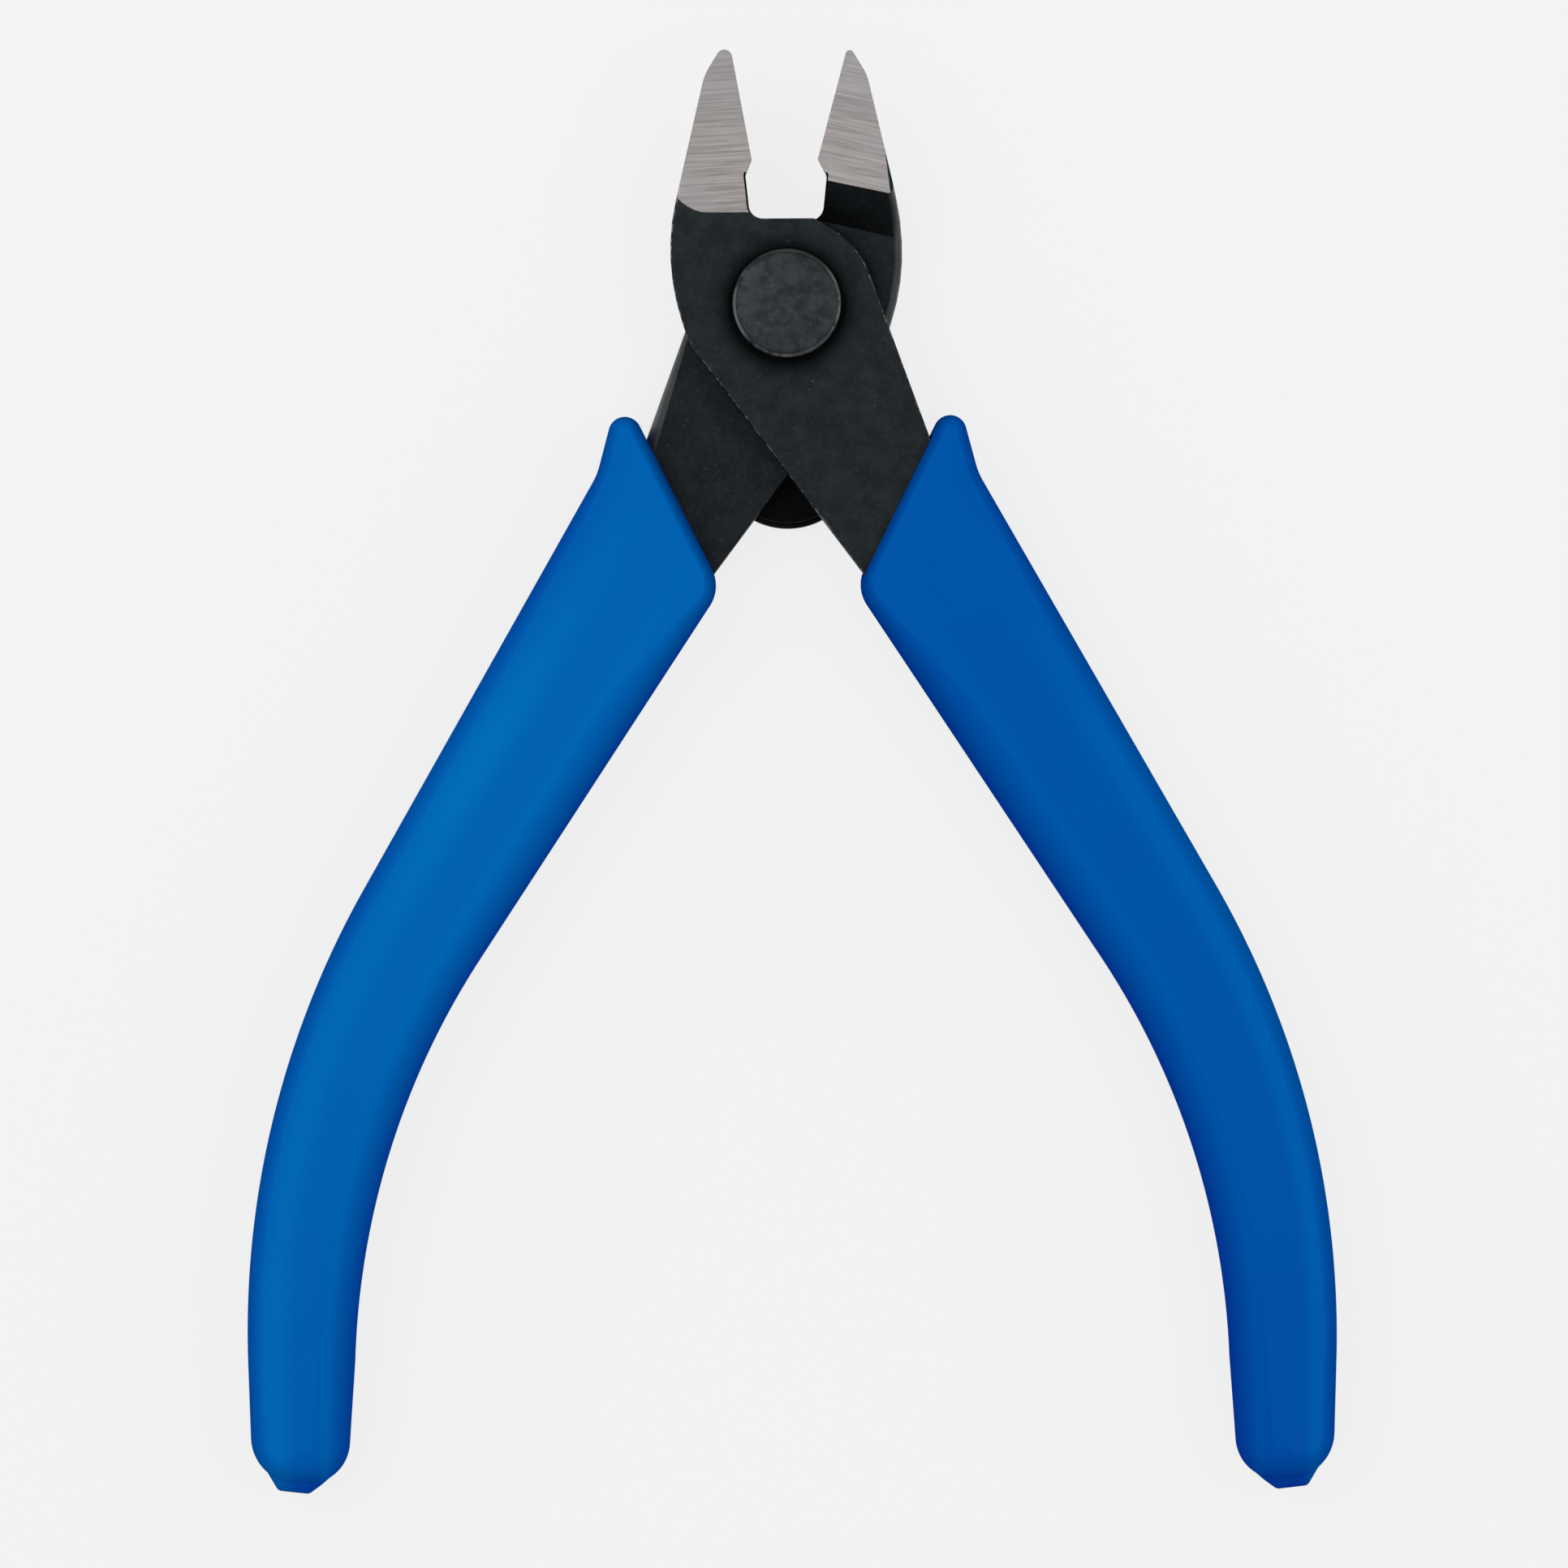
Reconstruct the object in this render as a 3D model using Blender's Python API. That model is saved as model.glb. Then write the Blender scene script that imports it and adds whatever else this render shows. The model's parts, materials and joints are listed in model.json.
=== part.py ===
"""Sprue nippers: two lap-jointed steel halves on a rivet, a torsion return spring and two sleeve grips.

The nippers lie flat on their grips with the jaws open towards +Y and the rivet's axis along +Z.
Outlines are drawn in metres about the rivet's axis, as the front half lies: blade to the left,
tang to the right. The rear half is drawn the same way and mirrored in X.
"""

import math

import bmesh
import bpy

# Levels above the table
REAR_BACK = 0.00275
PLATE_THICKNESS = 0.0027
LAP_GAP = 0.0002
GRIP_THICKNESS = 0.010

# Rivet
RIVET_HEAD_RADIUS = 0.00472
RIVET_HEAD_HEIGHT = 0.0009
RIVET_HEAD_CHAMFER = 0.0004
RIVET_SHANK_RADIUS = 0.0025
RIVET_CLEARANCE = 0.00015

# Halves: each straight edge is given by the angle of its outward normal and its distance from the axis
BOSS_RADIUS = 0.0076
CROTCH_DROP = 0.00022
CROTCH_SHOULDER = 0.00017
FLANK_ANGLE = 167.0
FLANK_DISTANCE = 0.01136
CHEEK_ANGLE = 198.0
CHEEK_DISTANCE = 0.00912
CHEEK_RADIUS = 0.0195
TANG_INNER_ANGLE = 216.87
TANG_INNER_DISTANCE = 0.00885
TANG_INNER_RADIUS = 0.008
TANG_OUTER_ANGLE = 20.0
TANG_HALF_WIDTH = 0.0032
TANG_SETBACK = 0.0082
TANG_END_RADIUS = 0.0016

# Blades: the cutting edges lean out by these angles when open and meet beside the axis when closed
FRONT_EDGE_ANGLE = 10.4
REAR_EDGE_ANGLE = 15.0
EDGE_BIAS = 0.00063
EDGE_GAP = 0.0001
EDGE_START = 0.01277
EDGE_END = 0.02245
EDGE_LAND = 0.00006
BEVEL_ANGLE = 38.0
BEVEL_RUN_OUT = 0.0032
FRONT_NOTCH_DEPTH = 0.00078
REAR_NOTCH_DEPTH = 0.00110
NOTCH_STEP = 0.0011
NOTCH_RADIUS = 0.0008
NOTCH_WALL_ANGLE = 6.0
NOTCH_FLOOR_RADIUS = 0.0012
TIP_WIDTH_OUT = 0.00565
TIP_REACH = 0.0222
TIP_RADIUS = 0.0007
NOSE_REACH = 0.0199
NOSE_RADIUS = 0.005
RAMP_GAP = 0.0002
RAMP_ANGLE = 39.0
FACE_GRIND_START = 0.0079
FACE_GRIND_DROP = 0.0008
BACK_GRIND_START = 0.0122
TIP_THICKNESS = 0.0019

# Handle line: straight from beside the axis, then bent until it runs along -Y
HANDLE_ANGLE = 31.5
HANDLE_OFFSET = -0.00075
BEND_START = 0.0624
BEND_RADIUS = 0.073

# Grips, by distance along the handle line, ending straight after the bend
GRIP_TAIL = 0.010666
GRIP_HALF_MOUTH = 0.00714
GRIP_HALF_END = 0.0043
GRIP_END_DRAW = 0.0004
GRIP_END_OUTER_RADIUS = 0.0034
GRIP_END_INNER_RADIUS = 0.0044
GRIP_EDGE_ROUND = 0.0030
GRIP_MOUTH_ROUND = 0.0010
GRIP_ROUND_GROWTH = 0.016
GRIP_FIT = 0.00015
MOUTH_STATION = 0.0240
MOUTH_RADIUS = 0.0032
EAR_STATION = 0.0136
EAR_REACH = 0.0095
EAR_RADIUS = 0.00145
EAR_FOOT_STATION = 0.0212
EAR_FOOT_RADIUS = 0.006

# Return spring, behind the crotch
WIRE_RADIUS = 0.00037
WIRE_SELF_GAP = 0.00043
COIL_RADIUS = 0.0061
COIL_DROP = 0.0129
COIL_CLEARANCE = 0.00015
LEG_ANGLE = 14.0
LEG_LENGTH = 0.0076
HOOK_BEND_RADIUS = 0.0010
HOOK_DEPTH = 0.0013
HOOK_CLEARANCE = 0.00015
HEEL_RADIUS = 0.0060
HEEL_THICKNESS = 0.0010

# Facets
ARC_STEP = math.radians(6.0)
BEND_STEPS = 16
ROUND_STEPS = 6
TURNED_SIDES = 60
HOLE_SIDES = 16
COIL_POINTS_PER_TURN = 24

# Levels and lengths that follow
REAR_TOP = REAR_BACK + PLATE_THICKNESS
FRONT_BACK = REAR_TOP + LAP_GAP
FRONT_TOP = FRONT_BACK + PLATE_THICKNESS
BEND_LENGTH = BEND_RADIUS * math.radians(HANDLE_ANGLE)
GRIP_LENGTH = BEND_START + BEND_LENGTH + GRIP_TAIL
TANG_LENGTH = GRIP_LENGTH - TANG_SETBACK
PAST = 0.002
FAR = 0.15


def clear_scene():
    """Remove whatever the scene holds."""
    for thing in list(bpy.data.objects):
        bpy.data.objects.remove(thing, do_unlink=True)


def make_material(name, colour, roughness, metallic):
    """Return a Principled material."""
    material = bpy.data.materials.new(name)
    material.use_nodes = True
    shader = material.node_tree.nodes["Principled BSDF"]
    shader.inputs["Base Color"].default_value = (*colour, 1.0)
    shader.inputs["Roughness"].default_value = roughness
    shader.inputs["Metallic"].default_value = metallic
    return material


# Plane geometry

def polar(angle, distance):
    """Return the point at an angle in degrees and a distance from the axis."""
    turn = math.radians(angle)
    return (distance * math.cos(turn), distance * math.sin(turn))


def meet(line_a, line_b):
    """Return where two lines cross, each given as the angle of its normal and its distance."""
    ax, ay = polar(line_a[0], 1.0)
    bx, by = polar(line_b[0], 1.0)
    cross = ax * by - ay * bx
    x = (line_a[1] * by - line_b[1] * ay) / cross
    y = (ax * line_b[1] - bx * line_a[1]) / cross
    return (x, y)


def corner_opening(before, corner, after):
    """Return the signed angle at a corner between the ways to its neighbours, and their bisector."""
    to_before = math.atan2(before[1] - corner[1], before[0] - corner[0])
    to_after = math.atan2(after[1] - corner[1], after[0] - corner[0])
    opening = (to_after - to_before + math.pi) % (2 * math.pi) - math.pi
    return opening, to_before + opening / 2


def rounded(corners):
    """Return an outline through corners (x, y, radius), each rounded by an arc that its edges have room for."""
    count = len(corners)
    openings = []
    needs = []
    for index, corner in enumerate(corners):
        opening, middle = corner_opening(corners[index - 1], corner, corners[(index + 1) % count])
        openings.append((opening, middle))
        needs.append(corner[2] / math.tan(abs(opening) / 2))
    points = []
    for index, (x, y, radius) in enumerate(corners):
        opening, middle = openings[index]
        if radius == 0.0:
            points.append((x, y))
            continue
        for other in (index - 1, (index + 1) % count):
            room = 0.98 * math.dist((x, y), corners[other][:2])
            radius = min(radius, corners[index][2] * room / (needs[index] + needs[other]))
        reach = radius / math.sin(abs(opening) / 2)
        centre = (x + reach * math.cos(middle), y + reach * math.sin(middle))
        sweep = math.copysign(math.pi - abs(opening), -opening)
        steps = max(2, math.ceil(abs(sweep) / ARC_STEP))
        first = middle + math.pi - sweep / 2
        for step in range(steps + 1):
            turn = first + sweep * step / steps
            points.append((centre[0] + radius * math.cos(turn), centre[1] + radius * math.sin(turn)))
    return points


def handle_point(station, offset):
    """Return the point at a distance along the handle line and an offset outwards from it."""
    heading = math.radians(HANDLE_ANGLE)
    along = min(station, BEND_START)
    x = HANDLE_OFFSET * math.cos(heading) + along * math.sin(heading)
    y = HANDLE_OFFSET * math.sin(heading) - along * math.cos(heading)
    bend = min(max(station - BEND_START, 0.0) / BEND_RADIUS, heading)
    end_heading = heading - bend
    x += BEND_RADIUS * (math.cos(end_heading) - math.cos(heading))
    y -= BEND_RADIUS * (math.sin(heading) - math.sin(end_heading))
    y -= max(0.0, station - BEND_START - BEND_LENGTH)
    return (x + offset * math.cos(end_heading), y + offset * math.sin(end_heading))


def bend_stations():
    """Return the stations that the bend of the handle line is drawn through."""
    return [BEND_START + BEND_LENGTH * step / BEND_STEPS for step in range(BEND_STEPS + 1)]


def grip_half_width(station):
    """Return half the grip's width at a station."""
    share = (station - MOUTH_STATION) / (GRIP_LENGTH - MOUTH_STATION)
    return GRIP_HALF_MOUTH + share * (GRIP_HALF_END - GRIP_HALF_MOUTH)


def along_edge(angle, bias, station, inset):
    """Return a point at a station along a cutting edge, set in towards its own blade."""
    lean = math.radians(angle)
    offset = bias + inset
    x = -offset * math.cos(lean) - station * math.sin(lean)
    y = -offset * math.sin(lean) + station * math.cos(lean)
    return (x, y)


# Outlines

def tang_corners(grow):
    """Return the corners of the tang inside its grip, from its inner edge round to its outer one."""
    half = TANG_HALF_WIDTH + grow
    end = TANG_LENGTH + grow
    inner_edge = (TANG_INNER_ANGLE, TANG_INNER_DISTANCE + grow)
    outer_edge = (TANG_OUTER_ANGLE, BOSS_RADIUS + grow)
    inner = meet(inner_edge, (HANDLE_ANGLE + 180.0, half - HANDLE_OFFSET))
    outer = meet(outer_edge, (HANDLE_ANGLE, half + HANDLE_OFFSET))
    corners = [(*inner, 0.0)]
    corners += [(*handle_point(station, -half), 0.0) for station in bend_stations()]
    corners.append((*handle_point(end, -half), TANG_END_RADIUS))
    corners.append((*handle_point(end, half), TANG_END_RADIUS))
    corners += [(*handle_point(station, half), 0.0) for station in reversed(bend_stations())]
    corners.append((*outer, 0.0))
    return corners


def half_outline(edge_angle, bias, notch_depth):
    """Return the outline of a half: blade, cheek, tang, boss, flat crotch and notch."""
    flank = (FLANK_ANGLE, FLANK_DISTANCE)
    cheek = (CHEEK_ANGLE, CHEEK_DISTANCE)
    inner_edge = (TANG_INNER_ANGLE, TANG_INNER_DISTANCE)
    nose = meet(flank, (90.0, NOSE_REACH))
    corners = [
        (*along_edge(edge_angle, bias, EDGE_END, 0.0), TIP_RADIUS),
        (-TIP_WIDTH_OUT, TIP_REACH, TIP_RADIUS),
        (*nose, NOSE_RADIUS),
        (*meet(flank, cheek), CHEEK_RADIUS),
        (*meet(cheek, inner_edge), TANG_INNER_RADIUS),
    ]
    corners += tang_corners(0.0)
    floor = BOSS_RADIUS - CROTCH_DROP
    shoulder = BOSS_RADIUS + CROTCH_SHOULDER
    boss_end = math.degrees(math.asin(floor / shoulder) - math.acos(BOSS_RADIUS / shoulder))
    steps = math.ceil(math.radians(boss_end - TANG_OUTER_ANGLE) / ARC_STEP)
    for step in range(steps + 1):
        turn = TANG_OUTER_ANGLE + (boss_end - TANG_OUTER_ANGLE) * step / steps
        corners.append((*polar(turn, BOSS_RADIUS), 0.0))
    wall = along_edge(edge_angle, bias, EDGE_START - NOTCH_STEP, notch_depth)
    lean_in = (wall[1] - floor) * math.tan(math.radians(NOTCH_WALL_ANGLE))
    corners += [
        (math.sqrt(shoulder ** 2 - floor ** 2), floor, NOTCH_RADIUS),
        (wall[0] + lean_in, floor, NOTCH_FLOOR_RADIUS),
        (*wall, NOTCH_RADIUS),
        (*along_edge(edge_angle, bias, EDGE_START, 0.0), 0.0),
    ]
    return rounded(corners)


def grip_outline():
    """Return the outline of the right grip: mouth, ear, outer edge, end and inner edge."""
    mouth = handle_point(MOUTH_STATION, -grip_half_width(MOUTH_STATION))
    corners = [
        (*mouth, MOUTH_RADIUS),
    ]
    corners += [(*handle_point(s, -grip_half_width(s)), 0.0) for s in bend_stations()]
    corners.append((*handle_point(GRIP_LENGTH, GRIP_END_DRAW - GRIP_HALF_END), GRIP_END_INNER_RADIUS))
    corners.append((*handle_point(GRIP_LENGTH, GRIP_HALF_END), GRIP_END_OUTER_RADIUS))
    corners += [(*handle_point(s, grip_half_width(s)), 0.0) for s in reversed(bend_stations())]
    corners.append((*handle_point(EAR_FOOT_STATION, grip_half_width(EAR_FOOT_STATION)), EAR_FOOT_RADIUS))
    corners.append((*handle_point(EAR_STATION, EAR_REACH), EAR_RADIUS))
    return rounded(corners)


# Meshes

def loft(name, sections):
    """Return an object lofted through closed sections of equal length, with flat ends."""
    shape = bmesh.new()
    rings = [[shape.verts.new(point) for point in section] for section in sections]
    for lower, upper in zip(rings, rings[1:]):
        for index in range(len(lower)):
            following = (index + 1) % len(lower)
            shape.faces.new((lower[index], lower[following], upper[following], upper[index]))
    shape.faces.new(list(reversed(rings[0])))
    shape.faces.new(rings[-1])
    if shape.calc_volume(signed=True) < 0:
        bmesh.ops.reverse_faces(shape, faces=shape.faces)
    mesh = bpy.data.meshes.new(name)
    shape.to_mesh(mesh)
    shape.free()
    thing = bpy.data.objects.new(name, mesh)
    bpy.context.collection.objects.link(thing)
    return thing


def prism(name, outline, low, high):
    """Return an outline extruded between two levels."""
    return loft(name, [[(x, y, z) for x, y in outline] for z in (low, high)])


def disc(centre, radius, sides):
    """Return a round outline."""
    turns = [2 * math.pi * index / sides for index in range(sides)]
    return [(centre[0] + radius * math.cos(t), centre[1] + radius * math.sin(t)) for t in turns]


def turned(name, profile):
    """Return a solid of revolution about Z from a profile of (radius, level), bottom to top."""
    return loft(name, [[(x, y, z) for x, y in disc((0.0, 0.0), r, TURNED_SIDES)] for r, z in profile])


def combine(thing, other, operation):
    """Cut another object from a thing, or join it on, and keep the other as a hidden guide."""
    modifier = thing.modifiers.new(other.name, "BOOLEAN")
    modifier.operation = operation
    modifier.solver = "EXACT"
    modifier.object = other
    other.hide_render = True
    other.display_type = "WIRE"
    other.parent = thing


def mirrored(points, side):
    """Return points with X turned over when side is -1."""
    return [(side * point[0], *point[1:]) for point in points]


# Halves

def jaw_block(name, side, lean_angle, profile):
    """Return a cutter across a jaw from a profile of (distance along the lean, level)."""
    lean = math.radians(lean_angle)
    along = (-math.sin(lean), math.cos(lean))
    across = (math.cos(lean), math.sin(lean))
    sections = []
    for reach in (-FAR, FAR):
        ring = [(u * along[0] + reach * across[0], u * along[1] + reach * across[1], z) for u, z in profile]
        sections.append(mirrored(ring, side))
    return loft(name, sections)


def face_level(reach):
    """Return the level of the ground front face at a distance towards the tip."""
    share = (reach - FACE_GRIND_START) / (TIP_REACH - FACE_GRIND_START)
    return FRONT_TOP - FACE_GRIND_DROP * share


def bevel_cutter(name, side, edge_angle, bias):
    """Return the wedge that bevels the back of a blade down to its cutting edge."""
    slope = math.tan(math.radians(BEVEL_ANGLE))
    width = FLANK_DISTANCE
    sections = []
    stations = [
        (EDGE_START - BEVEL_RUN_OUT, PLATE_THICKNESS + LAP_GAP),
        (EDGE_START, 0.0),
        (EDGE_END + PAST, 0.0),
    ]
    for station, drop in stations:
        edge = along_edge(edge_angle, bias, station, 0.0)
        top = face_level(edge[1]) - EDGE_LAND - drop
        out = along_edge(edge_angle, bias, station, -PAST)
        inside = along_edge(edge_angle, bias, station, width)
        low = top - width * slope
        ring = [(*out, top + PAST * slope), (*inside, low), (*out, low)]
        sections.append(mirrored(ring, side))
    return loft(name, sections)


def make_half(name, side, edge_angle, bias, notch_depth, lap_profile):
    """Return a half at full thickness, cut back to its own level behind the ramp and ground."""
    lean = 180.0 - FLANK_ANGLE
    outline = mirrored(half_outline(edge_angle, bias, notch_depth), side)
    half = prism(name, outline, REAR_BACK, FRONT_TOP)
    combine(half, jaw_block(name + "_lap_cut", side, lean, lap_profile), "DIFFERENCE")
    face = [
        (FACE_GRIND_START - PAST, face_level(FACE_GRIND_START - PAST)),
        (TIP_REACH + PAST, face_level(TIP_REACH + PAST)),
        (TIP_REACH + PAST, FRONT_TOP + PAST),
        (FACE_GRIND_START - PAST, FRONT_TOP + PAST),
    ]
    combine(half, jaw_block(name + "_face_grind", side, 0.0, face), "DIFFERENCE")
    tip_back = face_level(TIP_REACH) - TIP_THICKNESS
    rise = (tip_back - REAR_BACK) / (TIP_REACH - BACK_GRIND_START)
    back = [
        (BACK_GRIND_START - PAST, REAR_BACK - PAST * rise),
        (TIP_REACH + PAST, tip_back + PAST * rise),
        (TIP_REACH + PAST, REAR_BACK - PAST),
        (BACK_GRIND_START - PAST, REAR_BACK - PAST),
    ]
    combine(half, jaw_block(name + "_back_grind", side, lean, back), "DIFFERENCE")
    combine(half, bevel_cutter(name + "_bevel", side, edge_angle, bias), "DIFFERENCE")
    bore = disc((0.0, 0.0), RIVET_SHANK_RADIUS + RIVET_CLEARANCE, TURNED_SIDES)
    combine(half, prism(name + "_bore", bore, REAR_BACK - PAST, FRONT_TOP + PAST), "DIFFERENCE")
    return half


def make_front_half():
    """Return the half whose tang lies on the front level."""
    foot = BOSS_RADIUS + RAMP_GAP
    low = REAR_BACK - PAST
    run = (FRONT_BACK - low) / math.tan(math.radians(RAMP_ANGLE))
    profile = [(-FAR, low), (-FAR, FRONT_BACK), (foot, FRONT_BACK), (foot + run, low)]
    bias = EDGE_GAP / 2 + EDGE_BIAS
    half = make_half("front_half", 1, FRONT_EDGE_ANGLE, bias, FRONT_NOTCH_DEPTH, profile)
    combine(half, hook_hole("front_hook_hole", 1, FRONT_BACK), "DIFFERENCE")
    return half


def make_rear_half():
    """Return the half whose tang lies on the rear level, with the heel that backs the spring."""
    foot = BOSS_RADIUS + RAMP_GAP
    high = FRONT_TOP + PAST
    run = (high - REAR_TOP) / math.tan(math.radians(RAMP_ANGLE))
    profile = [(-FAR, high), (-FAR, REAR_TOP), (foot, REAR_TOP), (foot + run, high)]
    bias = EDGE_GAP / 2 - EDGE_BIAS
    half = make_half("rear_half", -1, REAR_EDGE_ANGLE, bias, REAR_NOTCH_DEPTH, profile)
    heel = disc((0.0, -COIL_DROP), HEEL_RADIUS, TURNED_SIDES)
    combine(half, prism("heel", heel, REAR_BACK, REAR_BACK + HEEL_THICKNESS), "UNION")
    combine(half, hook_hole("rear_hook_hole", -1, REAR_BACK), "DIFFERENCE")
    return half


# Spring

def leg_end(side):
    """Return where the end of a spring leg hooks into its tang."""
    lean = math.radians(LEG_ANGLE)
    x = COIL_RADIUS * math.cos(lean) + LEG_LENGTH * math.sin(lean)
    y = COIL_RADIUS * math.sin(lean) - LEG_LENGTH * math.cos(lean) - COIL_DROP
    return (side * x, y)


def hook_hole(name, side, level):
    """Return the cutter of the blind hole that holds a spring hook, from the back of a tang."""
    hole = disc(leg_end(side), WIRE_RADIUS + HOOK_CLEARANCE, HOLE_SIDES)
    return prism(name, hole, level - PAST / 2, level + HOOK_DEPTH + HOOK_CLEARANCE)


def hook_points(side, level, top):
    """Return the bend and the end of a hook, from the leg's level up into the tang."""
    lean = math.radians(LEG_ANGLE)
    x, y = leg_end(side)
    points = []
    for step in range(4):
        turn = math.radians(30.0 * step)
        back = HOOK_BEND_RADIUS * (1.0 - math.sin(turn))
        rise = HOOK_BEND_RADIUS * (1.0 - math.cos(turn))
        points.append((x - side * back * math.sin(lean), y + back * math.cos(lean), level + rise))
    points.append((x, y, top))
    return points


def spring_path():
    """Return the wire's centre line: left hook and leg, coil, right leg and hook."""
    lean = math.radians(LEG_ANGLE)
    sweep = 3 * math.pi - 2 * lean
    steps = round(COIL_POINTS_PER_TURN * sweep / (2 * math.pi))
    pitch = 2 * WIRE_RADIUS + WIRE_SELF_GAP
    high = REAR_BACK - COIL_CLEARANCE - WIRE_RADIUS
    low = high - pitch * sweep / (2 * math.pi)
    points = list(reversed(hook_points(-1, low, REAR_BACK + HOOK_DEPTH)))
    for step in range(steps + 1):
        turn = math.pi - lean - sweep * step / steps
        level = low + (high - low) * step / steps
        x = COIL_RADIUS * math.cos(turn)
        y = COIL_RADIUS * math.sin(turn) - COIL_DROP
        points.append((x, y, level))
    points += hook_points(1, high, FRONT_BACK + HOOK_DEPTH)
    return points


def least_self_gap(points):
    """Return the least gap between stretches of the wire that aren't neighbours along it."""
    travel = [0.0]
    for before, after in zip(points, points[1:]):
        travel.append(travel[-1] + math.dist(before, after))
    apart = COIL_RADIUS * math.pi / 2
    gaps = []
    for index, point in enumerate(points):
        for other, distance in zip(points[index:], travel[index:]):
            if distance - travel[index] > apart:
                gaps.append(math.dist(point, other))
    return min(gaps) - 2 * WIRE_RADIUS


def make_spring():
    """Return the return spring as one tube along its wire."""
    points = spring_path()
    print("return_spring least gap to itself: %.3f mm" % (1000 * least_self_gap(points)))
    curve = bpy.data.curves.new("return_spring", "CURVE")
    curve.dimensions = "3D"
    curve.bevel_depth = WIRE_RADIUS
    curve.bevel_resolution = 1
    curve.use_fill_caps = True
    spline = curve.splines.new("POLY")
    spline.points.add(len(points) - 1)
    for knot, point in zip(spline.points, points):
        knot.co = (*point, 1.0)
    thing = bpy.data.objects.new("return_spring", curve)
    bpy.context.collection.objects.link(thing)
    return thing


# Rivet and grips

def make_rivet():
    """Return the rivet with its two flat heads."""
    back_seat = REAR_BACK - RIVET_CLEARANCE
    front_seat = FRONT_TOP + RIVET_CLEARANCE
    rim = RIVET_HEAD_RADIUS - RIVET_HEAD_CHAMFER
    back = back_seat - RIVET_HEAD_HEIGHT
    front = front_seat + RIVET_HEAD_HEIGHT
    profile = [
        (rim, back),
        (RIVET_HEAD_RADIUS, back + RIVET_HEAD_CHAMFER),
        (RIVET_HEAD_RADIUS, back_seat),
        (RIVET_SHANK_RADIUS, back_seat),
        (RIVET_SHANK_RADIUS, front_seat),
        (RIVET_HEAD_RADIUS, front_seat),
        (RIVET_HEAD_RADIUS, front - RIVET_HEAD_CHAMFER),
        (rim, front),
    ]
    return turned("pivot_rivet", profile)


def edge_round(point):
    """Return how far the edges of a grip round in at a point of its outline."""
    heading = math.radians(HANDLE_ANGLE)
    station = point[0] * math.sin(heading) - point[1] * math.cos(heading)
    share = min(max((station - MOUTH_STATION) / GRIP_ROUND_GROWTH, 0.0), 1.0)
    return GRIP_MOUTH_ROUND + share * (GRIP_EDGE_ROUND - GRIP_MOUTH_ROUND)


def inward_normals(outline):
    """Return the unit normal at each point of an outline that runs counter-clockwise, pointing in."""
    normals = []
    count = len(outline)
    for index in range(count):
        before = outline[index - 1]
        after = outline[(index + 1) % count]
        dx = after[0] - before[0]
        dy = after[1] - before[1]
        length = math.hypot(dx, dy)
        normals.append((-dy / length, dx / length))
    return normals


def make_grip(name, side, tang_low):
    """Return a sleeve grip with flat faces, rounded edges and a pocket for its tang."""
    outline = grip_outline()
    normals = inward_normals(outline)
    half = GRIP_THICKNESS / 2
    sections = []
    for step in range(-ROUND_STEPS, ROUND_STEPS + 1):
        turn = math.pi / 2 * step / ROUND_STEPS
        ring = []
        for point, normal in zip(outline, normals):
            inset = edge_round(point) * (1.0 - math.cos(turn))
            level = half + half * math.sin(turn)
            ring.append((point[0] + inset * normal[0], point[1] + inset * normal[1], level))
        sections.append(mirrored(ring, side))
    grip = loft(name, sections)
    root = meet((TANG_INNER_ANGLE, TANG_INNER_DISTANCE + GRIP_FIT), (TANG_INNER_ANGLE + 90.0, 0.0))
    crown = polar(TANG_OUTER_ANGLE, BOSS_RADIUS + GRIP_FIT)
    pocket = rounded([(*root, 0.0), *tang_corners(GRIP_FIT), (*crown, 0.0)])
    low = tang_low - GRIP_FIT
    high = tang_low + PLATE_THICKNESS + GRIP_FIT
    combine(grip, prism(name + "_pocket", mirrored(pocket, side), low, high), "DIFFERENCE")
    for polygon in grip.data.polygons:
        polygon.use_smooth = True
    grip.data.set_sharp_from_angle(angle=math.radians(35.0))
    return grip


def make_lever(name, pieces):
    """Return an empty on the rivet's axis that carries the pieces of one lever."""
    lever = bpy.data.objects.new(name, None)
    bpy.context.collection.objects.link(lever)
    for piece, material in pieces:
        piece.parent = lever
        piece.data.materials.append(material)
    return lever


def main():
    """Build the nippers and stand the middle of their footprint on the origin."""
    clear_scene()
    steel = make_material("black_steel", (0.020, 0.021, 0.022), 0.45, 0.9)
    rivet_steel = make_material("rivet_steel", (0.045, 0.045, 0.047), 0.40, 0.9)
    wire = make_material("spring_wire", (0.015, 0.015, 0.016), 0.40, 0.9)
    sleeve = make_material("blue_sleeve", (0.0, 0.11, 0.42), 0.35, 0.0)
    front_half = make_front_half()
    rear_half = make_rear_half()
    front = make_lever("front_lever", [
        (front_half, steel),
        (make_rivet(), rivet_steel),
        (make_grip("right_grip", 1, FRONT_BACK), sleeve),
    ])
    rear = make_lever("rear_lever", [
        (rear_half, steel),
        (make_spring(), wire),
        (make_grip("left_grip", -1, REAR_BACK), sleeve),
    ])
    blade = half_outline(FRONT_EDGE_ANGLE, EDGE_GAP / 2 + EDGE_BIAS, FRONT_NOTCH_DEPTH)
    top = max(y for x, y in blade)
    bottom = min(y for x, y in grip_outline())
    pivot_y = -(top + bottom) / 2
    for lever in (front, rear):
        lever.location = (0.0, pivot_y, 0.0)
    print("rivet axis at y = %.6f m" % pivot_y)


main()
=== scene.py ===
"""Looks of the sprue nippers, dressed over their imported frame.

The nippers lie on a pale table with the blades towards +Y, seen from straight above. All sizes are in
metres, drawn about the rivet's axis and moved to the frame's origin when a mesh is made.
"""

from __future__ import annotations

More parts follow.
